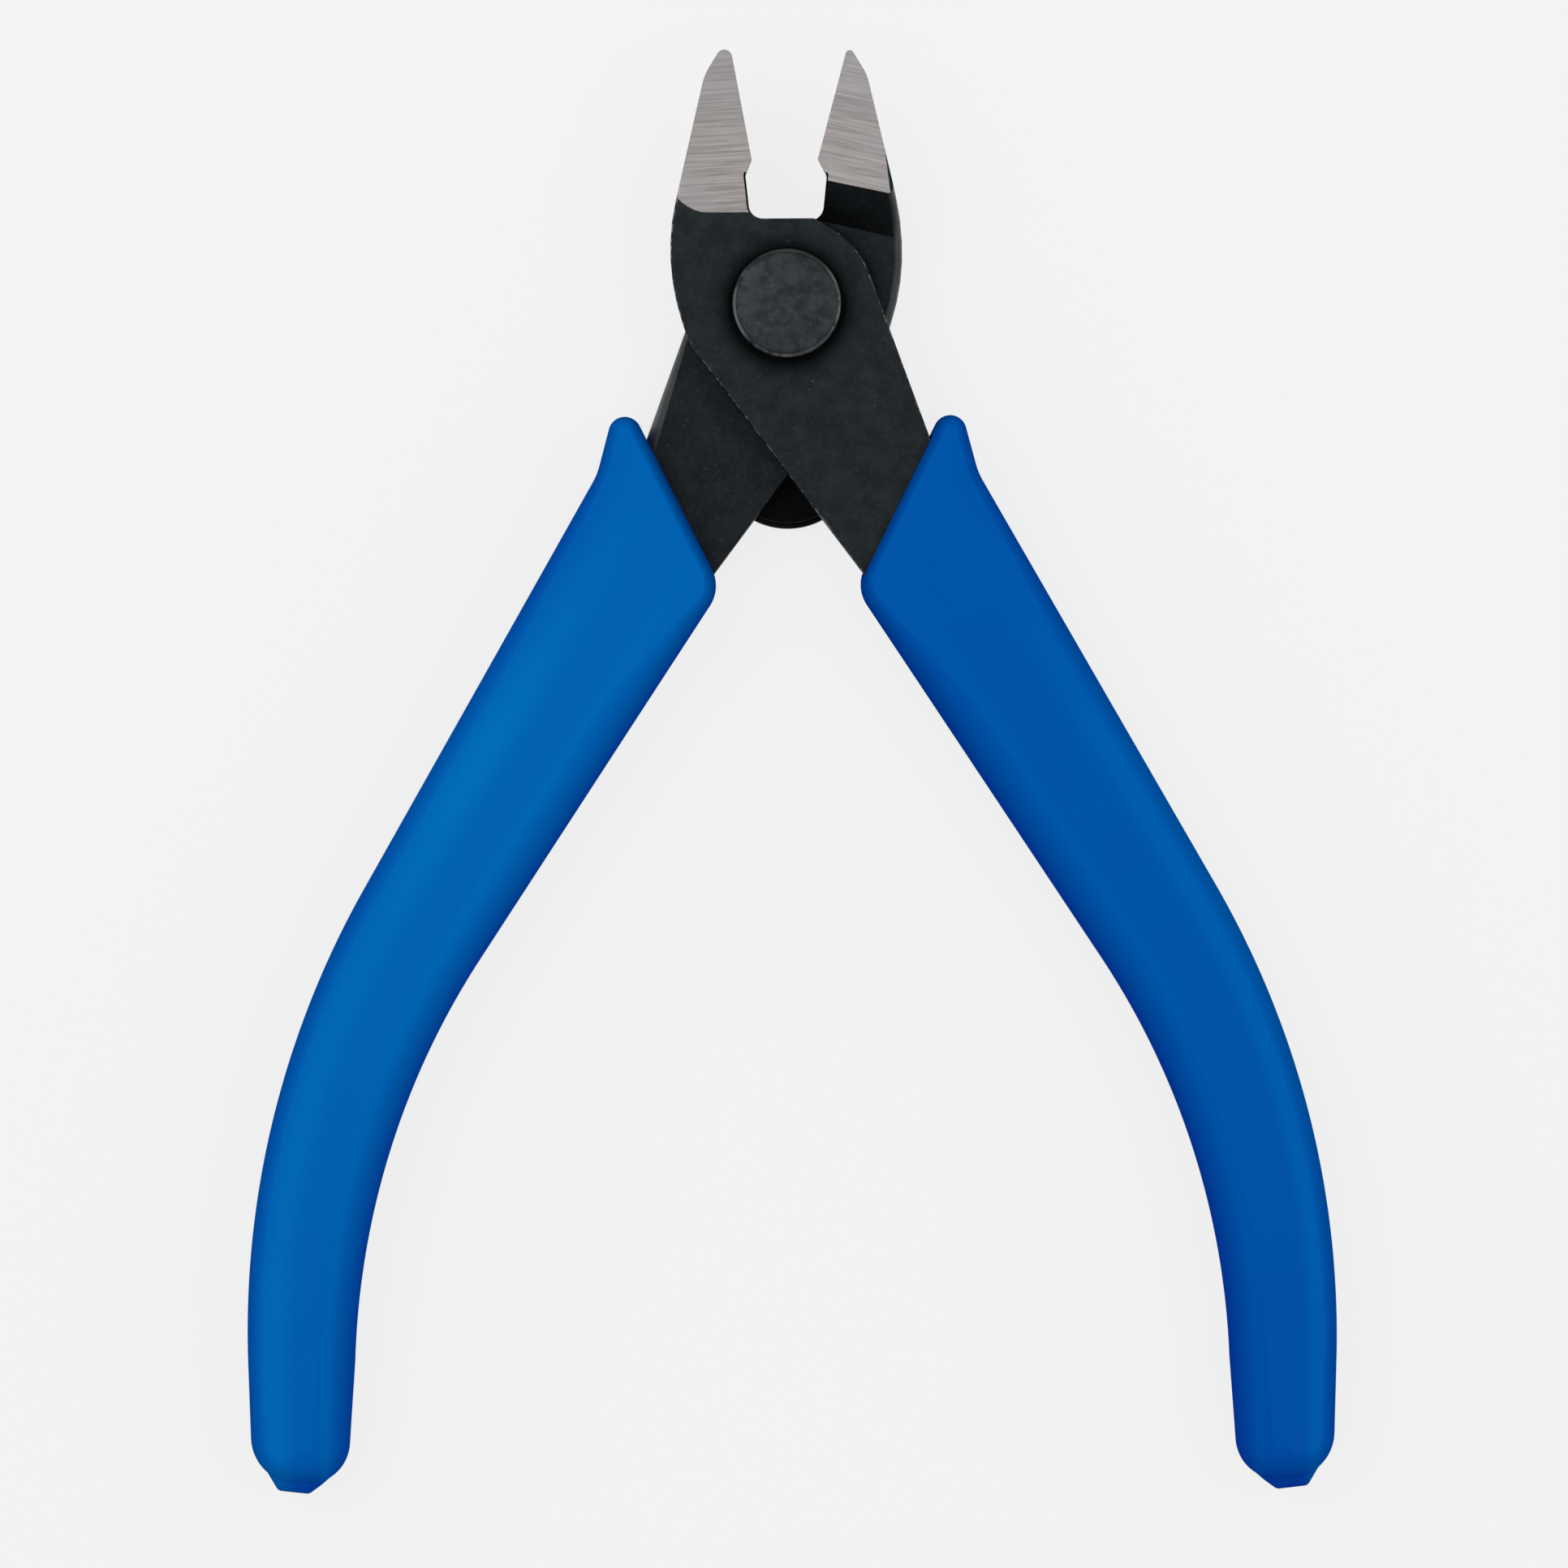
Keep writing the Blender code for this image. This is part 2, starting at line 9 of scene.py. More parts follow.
import json
import logging
import math
from contextlib import contextmanager
from dataclasses import dataclass, field
from enum import Enum, IntEnum
from typing import Any, Callable, Iterable, Iterator, Sequence

import bmesh
import bpy
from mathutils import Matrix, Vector
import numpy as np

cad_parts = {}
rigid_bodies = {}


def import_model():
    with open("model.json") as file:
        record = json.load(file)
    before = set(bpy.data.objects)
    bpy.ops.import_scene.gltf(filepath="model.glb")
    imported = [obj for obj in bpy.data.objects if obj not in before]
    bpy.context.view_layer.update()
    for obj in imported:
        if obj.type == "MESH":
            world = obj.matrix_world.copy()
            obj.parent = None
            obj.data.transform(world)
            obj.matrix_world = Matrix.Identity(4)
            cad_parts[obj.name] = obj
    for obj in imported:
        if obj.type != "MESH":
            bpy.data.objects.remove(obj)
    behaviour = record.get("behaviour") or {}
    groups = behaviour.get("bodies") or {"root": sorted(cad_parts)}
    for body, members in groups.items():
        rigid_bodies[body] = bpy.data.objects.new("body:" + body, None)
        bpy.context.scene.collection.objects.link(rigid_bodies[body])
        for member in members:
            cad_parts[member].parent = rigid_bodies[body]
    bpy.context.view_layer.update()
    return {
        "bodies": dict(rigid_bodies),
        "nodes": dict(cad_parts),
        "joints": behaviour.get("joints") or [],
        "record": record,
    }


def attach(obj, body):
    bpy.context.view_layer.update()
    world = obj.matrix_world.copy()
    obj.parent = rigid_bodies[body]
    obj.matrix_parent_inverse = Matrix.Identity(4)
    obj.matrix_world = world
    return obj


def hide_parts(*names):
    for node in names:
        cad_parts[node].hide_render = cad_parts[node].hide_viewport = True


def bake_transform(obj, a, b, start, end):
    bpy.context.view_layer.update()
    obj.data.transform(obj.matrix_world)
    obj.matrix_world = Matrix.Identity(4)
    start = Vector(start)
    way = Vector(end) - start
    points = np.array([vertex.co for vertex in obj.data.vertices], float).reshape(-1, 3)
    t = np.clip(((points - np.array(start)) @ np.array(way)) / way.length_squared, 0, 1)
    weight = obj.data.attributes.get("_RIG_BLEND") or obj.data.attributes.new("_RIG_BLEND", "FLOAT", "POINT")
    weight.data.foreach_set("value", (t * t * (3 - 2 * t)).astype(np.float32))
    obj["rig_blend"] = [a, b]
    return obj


Point2 = tuple[float, float]
Point3 = tuple[float, float, float]
Colour = tuple[float, float, float]

log = logging.getLogger("nippers")

# The rivet's axis, the backs of the two levels of the lap joint, and half the width of a sleeve
PIVOT_Y = 0.040155
REAR_BACK = 0.00275
FRONT_BACK = 0.00565
SLEEVE_HALF_MOUTH = 0.00714
SLEEVE_HALF_END = 0.0043

# Corners of a mesh that are nearer than this are one
MERGE = 0.000001


class Lever(Enum):
    """The two bodies of the frame."""

    FRONT = "front_lever"
    REAR = "rear_lever"


class Side(Enum):
    """Which way a mirrored piece lies: the sign of its X."""

    LEFT = -1
    RIGHT = 1


class Skin(Enum):
    """Material slots of a steel half."""

    OXIDE = 0
    GROUND = 1
    WORN = 2
    # Painted shade on the heel in the crotch
    PAINTED_SHADE = 3
    # Painted highlight on the wide roundings of the rear half
    PAINTED_HIGHLIGHT = 4


def srgb(red: int, green: int, blue: int) -> Colour:
    """Return a colour of 0 to 255 display values as linear light.

    Args:
        red: display value of red.
        green: display value of green.
        blue: display value of blue.

    Returns:
        The linear colour.
    """
    def linear(value: int) -> float:
        """Return one display value as linear light."""
        share = value / 255.0
        return share / 12.92 if share <= 0.04045 else ((share + 0.055) / 1.055) ** 2.4

    return (linear(red), linear(green), linear(blue))


class Wire:
    """A socket of a node tree whose arithmetic adds Math nodes."""

    def __init__(self, board: "Board", socket: bpy.types.NodeSocket) -> None:
        """Keep the socket and the board that it is on."""
        self.board = board
        self.socket = socket

    def math(self, operation: str, *values: Any) -> "Wire":
        """Return a Math node's result.

        Args:
            operation: the Math node's operation.
            values: its inputs, in order.

        Returns:
            The result as a wire.
        """
        return self.board.node("ShaderNodeMath", {"operation": operation}, dict(enumerate(values)))

    def __add__(self, other: Any) -> "Wire":
        """Add."""
        return self.math("ADD", self, other)

    def __radd__(self, other: Any) -> "Wire":
        """Add to a number."""
        return self.math("ADD", other, self)

    def __sub__(self, other: Any) -> "Wire":
        """Subtract."""
        return self.math("SUBTRACT", self, other)

    def __rsub__(self, other: Any) -> "Wire":
        """Subtract from a number."""
        return self.math("SUBTRACT", other, self)

    def __mul__(self, other: Any) -> "Wire":
        """Multiply."""
        return self.math("MULTIPLY", self, other)

    def __rmul__(self, other: Any) -> "Wire":
        """Multiply a number."""
        return self.math("MULTIPLY", other, self)

    def __truediv__(self, other: Any) -> "Wire":
        """Divide."""
        return self.math("DIVIDE", self, other)

    def __pow__(self, other: Any) -> "Wire":
        """Raise to a power."""
        return self.math("POWER", self, other)

    def __gt__(self, other: Any) -> "Wire":
        """Return 1 where this is the greater, else 0."""
        return self.math("GREATER_THAN", self, other)

    def __lt__(self, other: Any) -> "Wire":
        """Return 1 where this is the lesser, else 0."""
        return self.math("LESS_THAN", self, other)

    def at_least(self, floor: Any) -> "Wire":
        """Return the larger of this and a floor."""
        return self.math("MAXIMUM", self, floor)

    def at_most(self, ceiling: Any) -> "Wire":
        """Return the smaller of this and a ceiling."""
        return self.math("MINIMUM", self, ceiling)

    def clamped(self) -> "Wire":
        """Return the value held between 0 and 1."""
        return self.at_least(0.0).at_most(1.0)

    def swing(self, width: float) -> "Wire":
        """Return a value of 0 to 1 as a swing about 0, of a width."""
        return (self - 0.5) * width

    def size(self) -> "Wire":
        """Return the value without its sign."""
        return self.math("ABSOLUTE", self)

    def step(self, low: float, high: float) -> "Wire":
        """Return a smooth step from 0 at low to 1 at high.

        Args:
            low: where the step starts.
            high: where the step ends.

        Returns:
            The step as a wire.
        """
        inputs = {"Value": self, "From Min": low, "From Max": high}
        return self.board.node("ShaderNodeMapRange", {"interpolation_type": "SMOOTHSTEP"}, inputs)


class MixSocket(IntEnum):
    """Numbers of the sockets by which a Mix node takes and gives colours."""

    FACTOR = 0
    FIRST = 6
    SECOND = 7
    RESULT = 2


@dataclass(frozen=True)
class Noise:
    """A noise pattern.

    It holds waves to the metre, octaves of finer noise, the values at which its mask starts and is full,
    and the strength of each finer octave.
    """

    scale: float
    detail: float
    low: float = 0.0
    high: float = 1.0
    roughness: float = 0.6


class Board:
    """A node tree with one way to add its nodes."""

    def __init__(self, tree: bpy.types.NodeTree) -> None:
        """Keep the tree."""
        self.tree = tree

    def node(
        self,
        kind: str,
        settings: dict[str, Any] | None = None,
        inputs: dict[Any, Any] | None = None,
        output: Any = 0,
    ) -> Wire:
        """Add a node.

        Args:
            kind: the node's type.
            settings: its properties, set before its sockets.
            inputs: values or wires by socket name or number.
            output: the name or number of the socket to return.

        Returns:
            The chosen output as a wire, or the first input of a node that has no output.
        """
        node = self.tree.nodes.new(kind)
        for name, value in (settings or {}).items():
            setattr(node, name, value)
        for name, value in (inputs or {}).items():
            socket = node.inputs[name]
            if isinstance(value, Wire):
                self.tree.links.new(value.socket, socket)
            else:
                socket.default_value = value
        return Wire(self, node.outputs[output] if len(node.outputs) else node.inputs[0])


class Paint(Board):
    """A material's tree, with the patterns that the finishes share."""

    def __init__(self, name: str) -> None:
        """Start an empty material.

        Args:
            name: name of the material.
        """
        self.material = bpy.data.materials.new(name)
        self.material.use_nodes = True
        self.material.node_tree.nodes.clear()
        super().__init__(self.material.node_tree)
        self.place = self.node("ShaderNodeTexCoord", output="Object")

    def axis(self, name: str) -> Wire:
        """Return one Object coordinate, X, Y or Z."""
        return self.node("ShaderNodeSeparateXYZ", {}, {0: self.place}, name)

    def ahead(self) -> Wire:
        """Return the distance from the rivet's axis towards the blades."""
        return self.axis("Y") - PIVOT_Y

    def reach(self, drop: float = 0.0) -> Wire:
        """Return the distance from the rivet's axis.

        Args:
            drop: how far below the axis the distance is taken from instead.

        Returns:
            The distance as a wire.
        """
        x = self.axis("X")
        y = self.ahead() + drop
        return (x * x + y * y) ** 0.5

    def noise(self, pattern: Noise, stretch: Point3 = (1.0, 1.0, 1.0), turn: float = 0.0) -> Wire:
        """Return noise of 0 to 1 on Object coordinates.

        Args:
            pattern: the noise.
            stretch: scale of each axis after the turn.
            turn: turn about Z in degrees, made first.

        Returns:
            The noise as a wire.
        """
        rotation = (0.0, 0.0, math.radians(turn))
        turned = self.node("ShaderNodeMapping", {}, {"Vector": self.place, "Rotation": rotation})
        inputs = {
            "Vector": self.node("ShaderNodeMapping", {}, {"Vector": turned, "Scale": stretch}),
            "Scale": pattern.scale,
            "Detail": pattern.detail,
            "Roughness": pattern.roughness,
        }
        return self.node("ShaderNodeTexNoise", {}, inputs, "Fac")

    def mask(self, pattern: Noise) -> Wire:
        """Return a noise pattern cut to its mask of 0 to 1."""
        return self.noise(pattern).step(pattern.low, pattern.high)

    def flecks(self, cells: float, radius: float) -> Wire:
        """Return sparse round flecks: 1 inside one, 0 outside.

        Args:
            cells: cells to the metre.
            radius: a fleck's radius as a share of its cell.

        Returns:
            The mask as a wire.
        """
        inputs = {"Vector": self.place, "Scale": cells}
        distance = self.node("ShaderNodeTexVoronoi", {}, inputs, "Distance")
        return 1.0 - distance.step(radius / 2, radius)

    def mix(self, share: Any, first: Any, second: Any) -> Wire:
        """Return a colour between two.

        Args:
            share: 0 for the first, 1 for the second.
            first: a colour or a wire.
            second: a colour or a wire.

        Returns:
            The colour as a wire.
        """
        def full(colour: Any) -> Any:
            """Return a colour with its alpha, or a wire as it is."""
            return colour if isinstance(colour, Wire) else (*colour, 1.0)

        settings = {"data_type": "RGBA", "clamp_factor": True}
        inputs = {MixSocket.FACTOR: share, MixSocket.FIRST: full(first), MixSocket.SECOND: full(second)}
        return self.node("ShaderNodeMix", settings, inputs, MixSocket.RESULT)

    def bump(self, height: Wire, depth: float, strength: float) -> Wire:
        """Return a bumped normal.

        Args:
            height: the height field, 0 to 1.
            depth: its depth in metres.
            strength: share of the effect.

        Returns:
            The normal as a wire.
        """
        inputs = {"Height": height, "Distance": depth, "Strength": strength}
        return self.node("ShaderNodeBump", {}, inputs, "Normal")

    def shader(self, **inputs: Any) -> Wire:
        """Return a Principled shader.

        Args:
            inputs: values or wires by socket name, with _ for a space.

        Returns:
            The shader as a wire.
        """
        named = {name.replace("_", " "): value for name, value in inputs.items()}
        return self.node("ShaderNodeBsdfPrincipled", {}, named, "BSDF")

    def blend(self, share: Wire, first: Wire, second: Wire) -> Wire:
        """Return a shader between two, the first at a share of 0."""
        return self.node("ShaderNodeMixShader", {}, {0: share, 1: first, 2: second})

    def finish(self, shader: Wire) -> bpy.types.Material:
        """End the material in a shader and return it."""
        self.node("ShaderNodeOutputMaterial", {}, {"Surface": shader})
        return self.material


# Finishes

class Finish:
    """The finish of a surface: a name, and a shader that the material is made of."""

    name: str

    def shader(self, paint: Paint) -> Wire:
        """Return the finish's shader on a paint."""
        raise NotImplementedError

    def material(self) -> bpy.types.Material:
        """Return the finish as a material."""
        paint = Paint(self.name)
        return paint.finish(self.shader(paint))


@dataclass(frozen=True)
class BlackOxide(Finish):
    """Blackened steel: even and matt, faintly mottled, with painted shade round the rivet and a few bright
    flecks.
    """

    name: str = "front_black_oxide"
    dark: Colour = srgb(23, 28, 32)
    light: Colour = srgb(33, 39, 43)
    green: Colour = srgb(30, 36, 33)
    speck: Colour = srgb(46, 51, 54)
    fleck: Colour = srgb(96, 99, 100)
    # painted_shade: colour of the painted shade round the rivet and of the painted shadow beside the boss
    painted_shade: Colour = srgb(3, 3, 3)
    cloud: Noise = Noise(620.0, 4.0, 0.3, 0.75)
    tint: Noise = Noise(520.0, 1.0, 0.5, 0.75)
    tint_share: float = 0.45
    grain: Noise = Noise(2600.0, 2.0, 0.5, 0.7)
    grain_share: float = 0.3
    fleck_cells: float = 900.0
    fleck_radius: float = 0.08
    fleck_full: float = 0.62
    fleck_share: float = 0.7
    # A ring of painted shade round the rivet, taken about a point a little below its axis
    shade_inside: float = 0.0050
    shade_outside: float = 0.0075
    shade_drop: float = 0.0002
    shade_share: float = 0.9
    # Painted shadow on the plate beside the boss of the half above it; 0 leaves it out
    boss_radius: float = 0.0076
    boss_clear: float = 0.0002
    boss_fade: float = 0.0008
    boss_painted_shadow: float = 0.0
    roughness: float = 0.5
    uneven: Noise = Noise(900.0, 3.0)
    uneven_gloss: float = 0.16
    metallic: float = 0.85
    pores: Noise = Noise(3200.0, 3.0)
    pore_depth: float = 0.000012
    pore_share: float = 0.6

    def colour(self, paint: Paint) -> Wire:
        """Return the mottled colour, with painted shade round the rivet and painted shadow beside the boss
        where set.

        Args:
            paint: the material's tree.

        Returns:
            The colour as a wire.
        """
        grain = paint.noise(self.grain)
        base = paint.mix(paint.mask(self.cloud), self.dark, self.light)
        base = paint.mix(paint.mask(self.tint) * self.tint_share, base, self.green)
        base = paint.mix(grain.step(self.grain.low, self.grain.high) * self.grain_share, base, self.speck)
        flecks = paint.flecks(self.fleck_cells, self.fleck_radius)
        flecks = flecks * grain.step(self.grain.low, self.fleck_full)
        base = paint.mix(flecks * self.fleck_share, base, self.fleck)
        # Painted shadow beside the boss
        if self.boss_painted_shadow > 0.0:
            foot = 1.0 - (paint.reach() - self.boss_radius).step(self.boss_clear, self.boss_fade)
            base = paint.mix(foot * self.boss_painted_shadow, base, self.painted_shade)
        # Painted shade round the rivet
        return paint.mix(self.ring(paint), base, self.painted_shade)

    def ring(self, paint: Paint) -> Wire:
        """Return how thickly painted shade lies round the rivet, taken about a point a little below its axis.

        Args:
            paint: the material's tree.

        Returns:
            The share of painted shade as a wire.
        """
        width = self.shade_outside - self.shade_inside
        near = ((self.shade_outside - paint.reach(self.shade_drop)) / width).clamped()
        return near * near * self.shade_share

    def gloss(self, paint: Paint) -> Wire:
        """Return the uneven roughness on a paint."""
        return self.roughness + paint.noise(self.uneven).swing(self.uneven_gloss)

    def shader(self, paint: Paint) -> Wire:
        """Return the blackened shader, more metallic under the painted shade.

        Args:
            paint: the material's tree.

        Returns:
            The shader as a wire.
        """
        return paint.shader(
            Base_Color=self.colour(paint),
            Roughness=self.gloss(paint),
            Metallic=self.metallic + self.ring(paint) * (1.0 - self.metallic),
            Normal=paint.bump(paint.noise(self.pores), self.pore_depth, self.pore_share),
        )


@dataclass(frozen=True)
class PaintedHighlightOxide(Finish):
    """The rounded outer corners of the rear half, with painted highlight that is lighter the further they
    turn down.
    """

    oxide: BlackOxide
    name: str = "corner_painted_highlight"
    # lightened: colour of the painted highlight on the roundings
    lightened: Colour = srgb(112, 114, 116)
    top: float = 0.00545
    depth: float = 0.0008
    fall: float = 0.5
    ramp_from: float = 0.0078
    ramp_angle: float = 39.0
    ramp_turn: float = 13.0
    patch: Noise = Noise(420.0, 3.0, 0.3, 0.7)
    patch_least: float = 0.75

    def shader(self, paint: Paint) -> Wire:
        """Return the blackened shader with painted highlight below the top face and below the ramp that rises
        from it.

        Args:
            paint: the material's tree.

        Returns:
            The shader as a wire.
        """
        turn = math.radians(self.ramp_turn)
        along = paint.axis("X") * math.sin(turn) + paint.ahead() * math.cos(turn)
        slope = math.tan(math.radians(self.ramp_angle))
        top = self.top + (along - self.ramp_from).at_least(0.0) * slope
        drop = ((top - paint.axis("Z")) / self.depth).clamped()
        patch = self.patch_least + paint.mask(self.patch) * (1.0 - self.patch_least)
        return paint.shader(
            # Painted highlight: lighter the further the rounding turns down, in patches
            Base_Color=paint.mix(drop ** self.fall * patch, self.oxide.colour(paint), self.lightened),
            Roughness=self.oxide.gloss(paint),
            Metallic=self.oxide.metallic,
        )


@dataclass(frozen=True)
class HeelShade(Finish):
    """Near-black painted shade on the heel in the crotch, standing for the deep shade there."""

    name: str = "heel_painted_shade"
    dark: Colour = srgb(2, 1, 1)
    light: Colour = srgb(9, 8, 8)
    cloud: Noise = Noise(700.0, 3.0, 0.4, 0.8)
    roughness: float = 0.72
    cloud_gloss: float = 0.2
    specular: float = 0.08

    def shader(self, paint: Paint) -> Wire:
        """Return the shader of the heel's painted shade.

        Args:
            paint: the material's tree.

        Returns:
            The shader as a wire.
        """
        cloud = paint.noise(self.cloud)
        return paint.shader(
            Base_Color=paint.mix(cloud.step(self.cloud.low, self.cloud.high), self.dark, self.light),
            Roughness=self.roughness + cloud.swing(self.cloud_gloss),
            Specular_IOR_Level=self.specular,
        )


@dataclass(frozen=True)
class GroundSteel(Finish):
    """Bare blade steel with the fine scratches of the grinding wheel across it."""

    name: str
    turn: float
    pale: Colour = srgb(163, 158, 154)
    deep: Colour = srgb(130, 126, 125)
    cool: Colour = srgb(146, 144, 149)
    oxide: BlackOxide = BlackOxide()
    fine: Noise = Noise(230.0, 3.0)
    fine_stretch: Point3 = (1.0, 30.0, 1.0)
    fine_share: float = 0.6
    broad: Noise = Noise(90.0, 3.0)
    broad_stretch: Point3 = (1.0, 34.0, 1.0)
    broad_share: float = 0.4
    scratch_low: float = 0.36
    scratch_high: float = 0.66
    scratch_depth: float = 0.000012
    scratch_share: float = 0.4
    tip_from: float = 0.012
    tip_full: float = 0.022
    tip_share: float = 0.4
    stain: Noise = Noise(320.0, 2.0, 0.45, 0.7)
    stain_share: float = 0.4
    roughness: float = 0.4
    scratch_gloss: float = 0.25
    ragged: Noise = Noise(1500.0, 2.0)
    ragged_width: float = 0.0001
    sharp_edge: float = 0.00005

    def inside(self, paint: Paint) -> Wire:
        """Return the distance inside the border of the ground face."""
        raise NotImplementedError

    def bare(self, paint: Paint) -> Wire:
        """Return 1 where the grinding reached and 0 where it didn't, with a ragged border."""
        past = self.inside(paint) - paint.noise(self.ragged).swing(self.ragged_width)
        return past.step(-self.sharp_edge, self.sharp_edge)

    def shader(self, paint: Paint) -> Wire:
        """Return the ground shader, blackened where the grinding didn't reach.

        Args:
            paint: the material's tree.

        Returns:
            The shader as a wire.
        """
        fine = paint.noise(self.fine, self.fine_stretch, self.turn)
        broad = paint.noise(self.broad, self.broad_stretch, self.turn)
        scratch = fine * self.fine_share + broad * self.broad_share
        colour = paint.mix(scratch.step(self.scratch_low, self.scratch_high), self.deep, self.pale)
        to_tip = paint.ahead().step(self.tip_from, self.tip_full) * self.tip_share
        stain = paint.mask(self.stain) * self.stain_share
        colour = paint.mix(to_tip.at_least(stain), colour, self.cool)
        roughness = self.roughness + fine.swing(self.scratch_gloss)
        bare = self.bare(paint)
        return paint.shader(
            Base_Color=paint.mix(bare, self.oxide.colour(paint), colour),
            Roughness=roughness * bare + self.oxide.gloss(paint) * (1.0 - bare),
            Metallic=self.oxide.metallic + bare * (1.0 - self.oxide.metallic),
            Normal=paint.bump(scratch, self.scratch_depth, self.scratch_share),
        )


@dataclass(frozen=True)
class FrontGround(GroundSteel):
    """The front blade, ground down to a shoulder that curves up towards its outer edge."""

    name: str = "front_ground_steel"
    turn: float = -3.0
    shoulder_y: float = 0.00793
    shoulder_x: float = 0.0069
    shoulder_rise: float = 190.0

    def inside(self, paint: Paint) -> Wire:
        """Return the distance above the shoulder."""
        past = (-self.shoulder_x - paint.axis("X")).at_least(0.0)
        return paint.ahead() - (self.shoulder_y + past * past * self.shoulder_rise)


@dataclass(frozen=True)
class RearGround(GroundSteel):
    """The rear blade, with a black margin that widens down its outer edge."""

    name: str = "rear_ground_steel"
    turn: float = 12.0
    pale: Colour = srgb(168, 163, 159)
    deep: Colour = srgb(135, 131, 130)
    cool: Colour = srgb(152, 150, 155)
    flank_angle: float = 13.0
    flank_distance: float = 0.01136
    margin_top: float = 0.0135
    margin_slope: float = 0.1

    def inside(self, paint: Paint) -> Wire:
        """Return the distance inside the margin.

        Args:
            paint: the material's tree.

        Returns:
            The distance as a wire.
        """
        lean = math.radians(self.flank_angle)
        y = paint.ahead()
        from_flank = self.flank_distance - paint.axis("X") * math.cos(lean) - y * math.sin(lean)
        return from_flank - (self.margin_top - y) * self.margin_slope


@dataclass(frozen=True)
class WornEdge(Finish):
    """The rubbed corners of a half: bare on the blade, with painted shade in the notch, patchy on the rest.
    """

    oxide: BlackOxide
    name: str = "worn_steel_edge"
    bare_steel: Colour = srgb(160, 158, 155)
    # notch_shade: painted shade on the rounded edges in the blade's notch
    notch_shade: Colour = srgb(20, 20, 20)
    notch_from: float = 0.007
    notch_full: float = 0.0078
    notch_top: float = 0.0132
    notch_top_fade: float = 0.0002
    notch_half: float = 0.0045
    notch_side_fade: float = 0.0003
    blade_from: float = 0.0088
    blade_fade: float = 0.001
    blade_share: float = 0.9
    patch: Noise = Noise(1700.0, 4.0, 0.46, 0.64)
    patch_share: float = 0.42
    roughness: float = 0.46
    rubbed_gloss: float = 0.12

    def shader(self, paint: Paint) -> Wire:
        """Return the worn shader.

        Args:
            paint: the material's tree.

        Returns:
            The shader as a wire.
        """
        y = paint.ahead()
        patch = paint.mask(self.patch) * self.patch_share
        blade = y.step(self.blade_from, self.blade_from + self.blade_fade)
        rub = patch.at_least(blade * self.blade_share)
        # Painted shade on the edges inside the notch
        between = 1.0 - paint.axis("X").size().step(self.notch_half, self.notch_half + self.notch_side_fade)
        below = 1.0 - y.step(self.notch_top - self.notch_top_fade, self.notch_top)
        notch_shaded = between * below * y.step(self.notch_from, self.notch_full)
        colour = paint.mix(rub, self.oxide.colour(paint), self.bare_steel)
        return paint.shader(
            Base_Color=paint.mix(notch_shaded, colour, self.notch_shade),
            Roughness=self.roughness - rub * self.rubbed_gloss,
            Metallic=self.oxide.metallic + rub * (1.0 - self.oxide.metallic),
        )


@dataclass(frozen=True)
class RivetSteel(Finish):
    """The rivet's dull grey head, mottled, with a thin rubbed rim that is brightest towards the grips."""

    name: str = "rivet_steel"
    dark: Colour = srgb(35, 39, 41)
    light: Colour = srgb(54, 58, 60)
    speck: Colour = srgb(72, 75, 76)
    rim: Colour = srgb(160, 161, 158)
    cloud: Noise = Noise(760.0, 4.0, 0.3, 0.7)
    grain: Noise = Noise(2000.0, 3.0, 0.5, 0.72)
    grain_share: float = 0.4
    rim_inside: float = 0.00435
    rim_outside: float = 0.0046
    rub: Noise = Noise(700.0, 4.0, 0.34, 0.58)
    rub_share: float = 0.65
    kept_from: float = 0.0012
    kept_full: float = 0.0038
    kept_share: float = 0.75
    fleck_cells: float = 1100.0
    fleck_radius: float = 0.1
    fleck_low: float = 0.45
    fleck_high: float = 0.6
    fleck_share: float = 0.3
    roughness: float = 0.48
    rubbed_gloss: float = 0.14
    grain_gloss: float = 0.12
    metallic: float = 0.9
    grain_depth: float = 0.000015
    grain_relief: float = 0.6

    def shader(self, paint: Paint) -> Wire:
        """Return the rivet's shader.

        Args:
            paint: the material's tree.

        Returns:
            The shader as a wire.
        """
        grain = paint.noise(self.grain)
        colour = paint.mix(paint.mask(self.cloud), self.dark, self.light)
        colour = paint.mix(grain.step(self.grain.low, self.grain.high) * self.grain_share, colour, self.speck)
        kept = 1.0 - paint.ahead().step(self.kept_from, self.kept_full) * self.kept_share
        lightened = paint.reach().step(self.rim_inside, self.rim_outside) * paint.mask(self.rub) * kept
        flecks = paint.flecks(self.fleck_cells, self.fleck_radius)
        flecks = flecks * grain.step(self.fleck_low, self.fleck_high)
        bright = lightened.at_least(flecks * self.fleck_share) * self.rub_share
        return paint.shader(
            Base_Color=paint.mix(bright, colour, self.rim),
            Roughness=self.roughness - lightened * self.rubbed_gloss + grain.swing(self.grain_gloss),
            Metallic=self.metallic,
            Normal=paint.bump(grain, self.grain_depth, self.grain_relief),
        )


@dataclass(frozen=True)
class SpringWire(Finish):
    """Oiled black music wire."""

    name: str = "spring_wire"
    dark: Colour = srgb(9, 8, 8)
    light: Colour = srgb(36, 34, 32)
    streak: Noise = Noise(900.0, 3.0, 0.5, 0.8)
    roughness: float = 0.34
    streak_gloss: float = 0.16
    metallic: float = 0.9

    def shader(self, paint: Paint) -> Wire:
        """Return the wire's shader.

        Args:
            paint: the material's tree.

        Returns:
            The shader as a wire.
        """
        streak = paint.noise(self.streak)
        return paint.shader(
            Base_Color=paint.mix(streak.step(self.streak.low, self.streak.high), self.dark, self.light),
            Roughness=self.roughness + streak * self.streak_gloss,
            Metallic=self.metallic,
        )


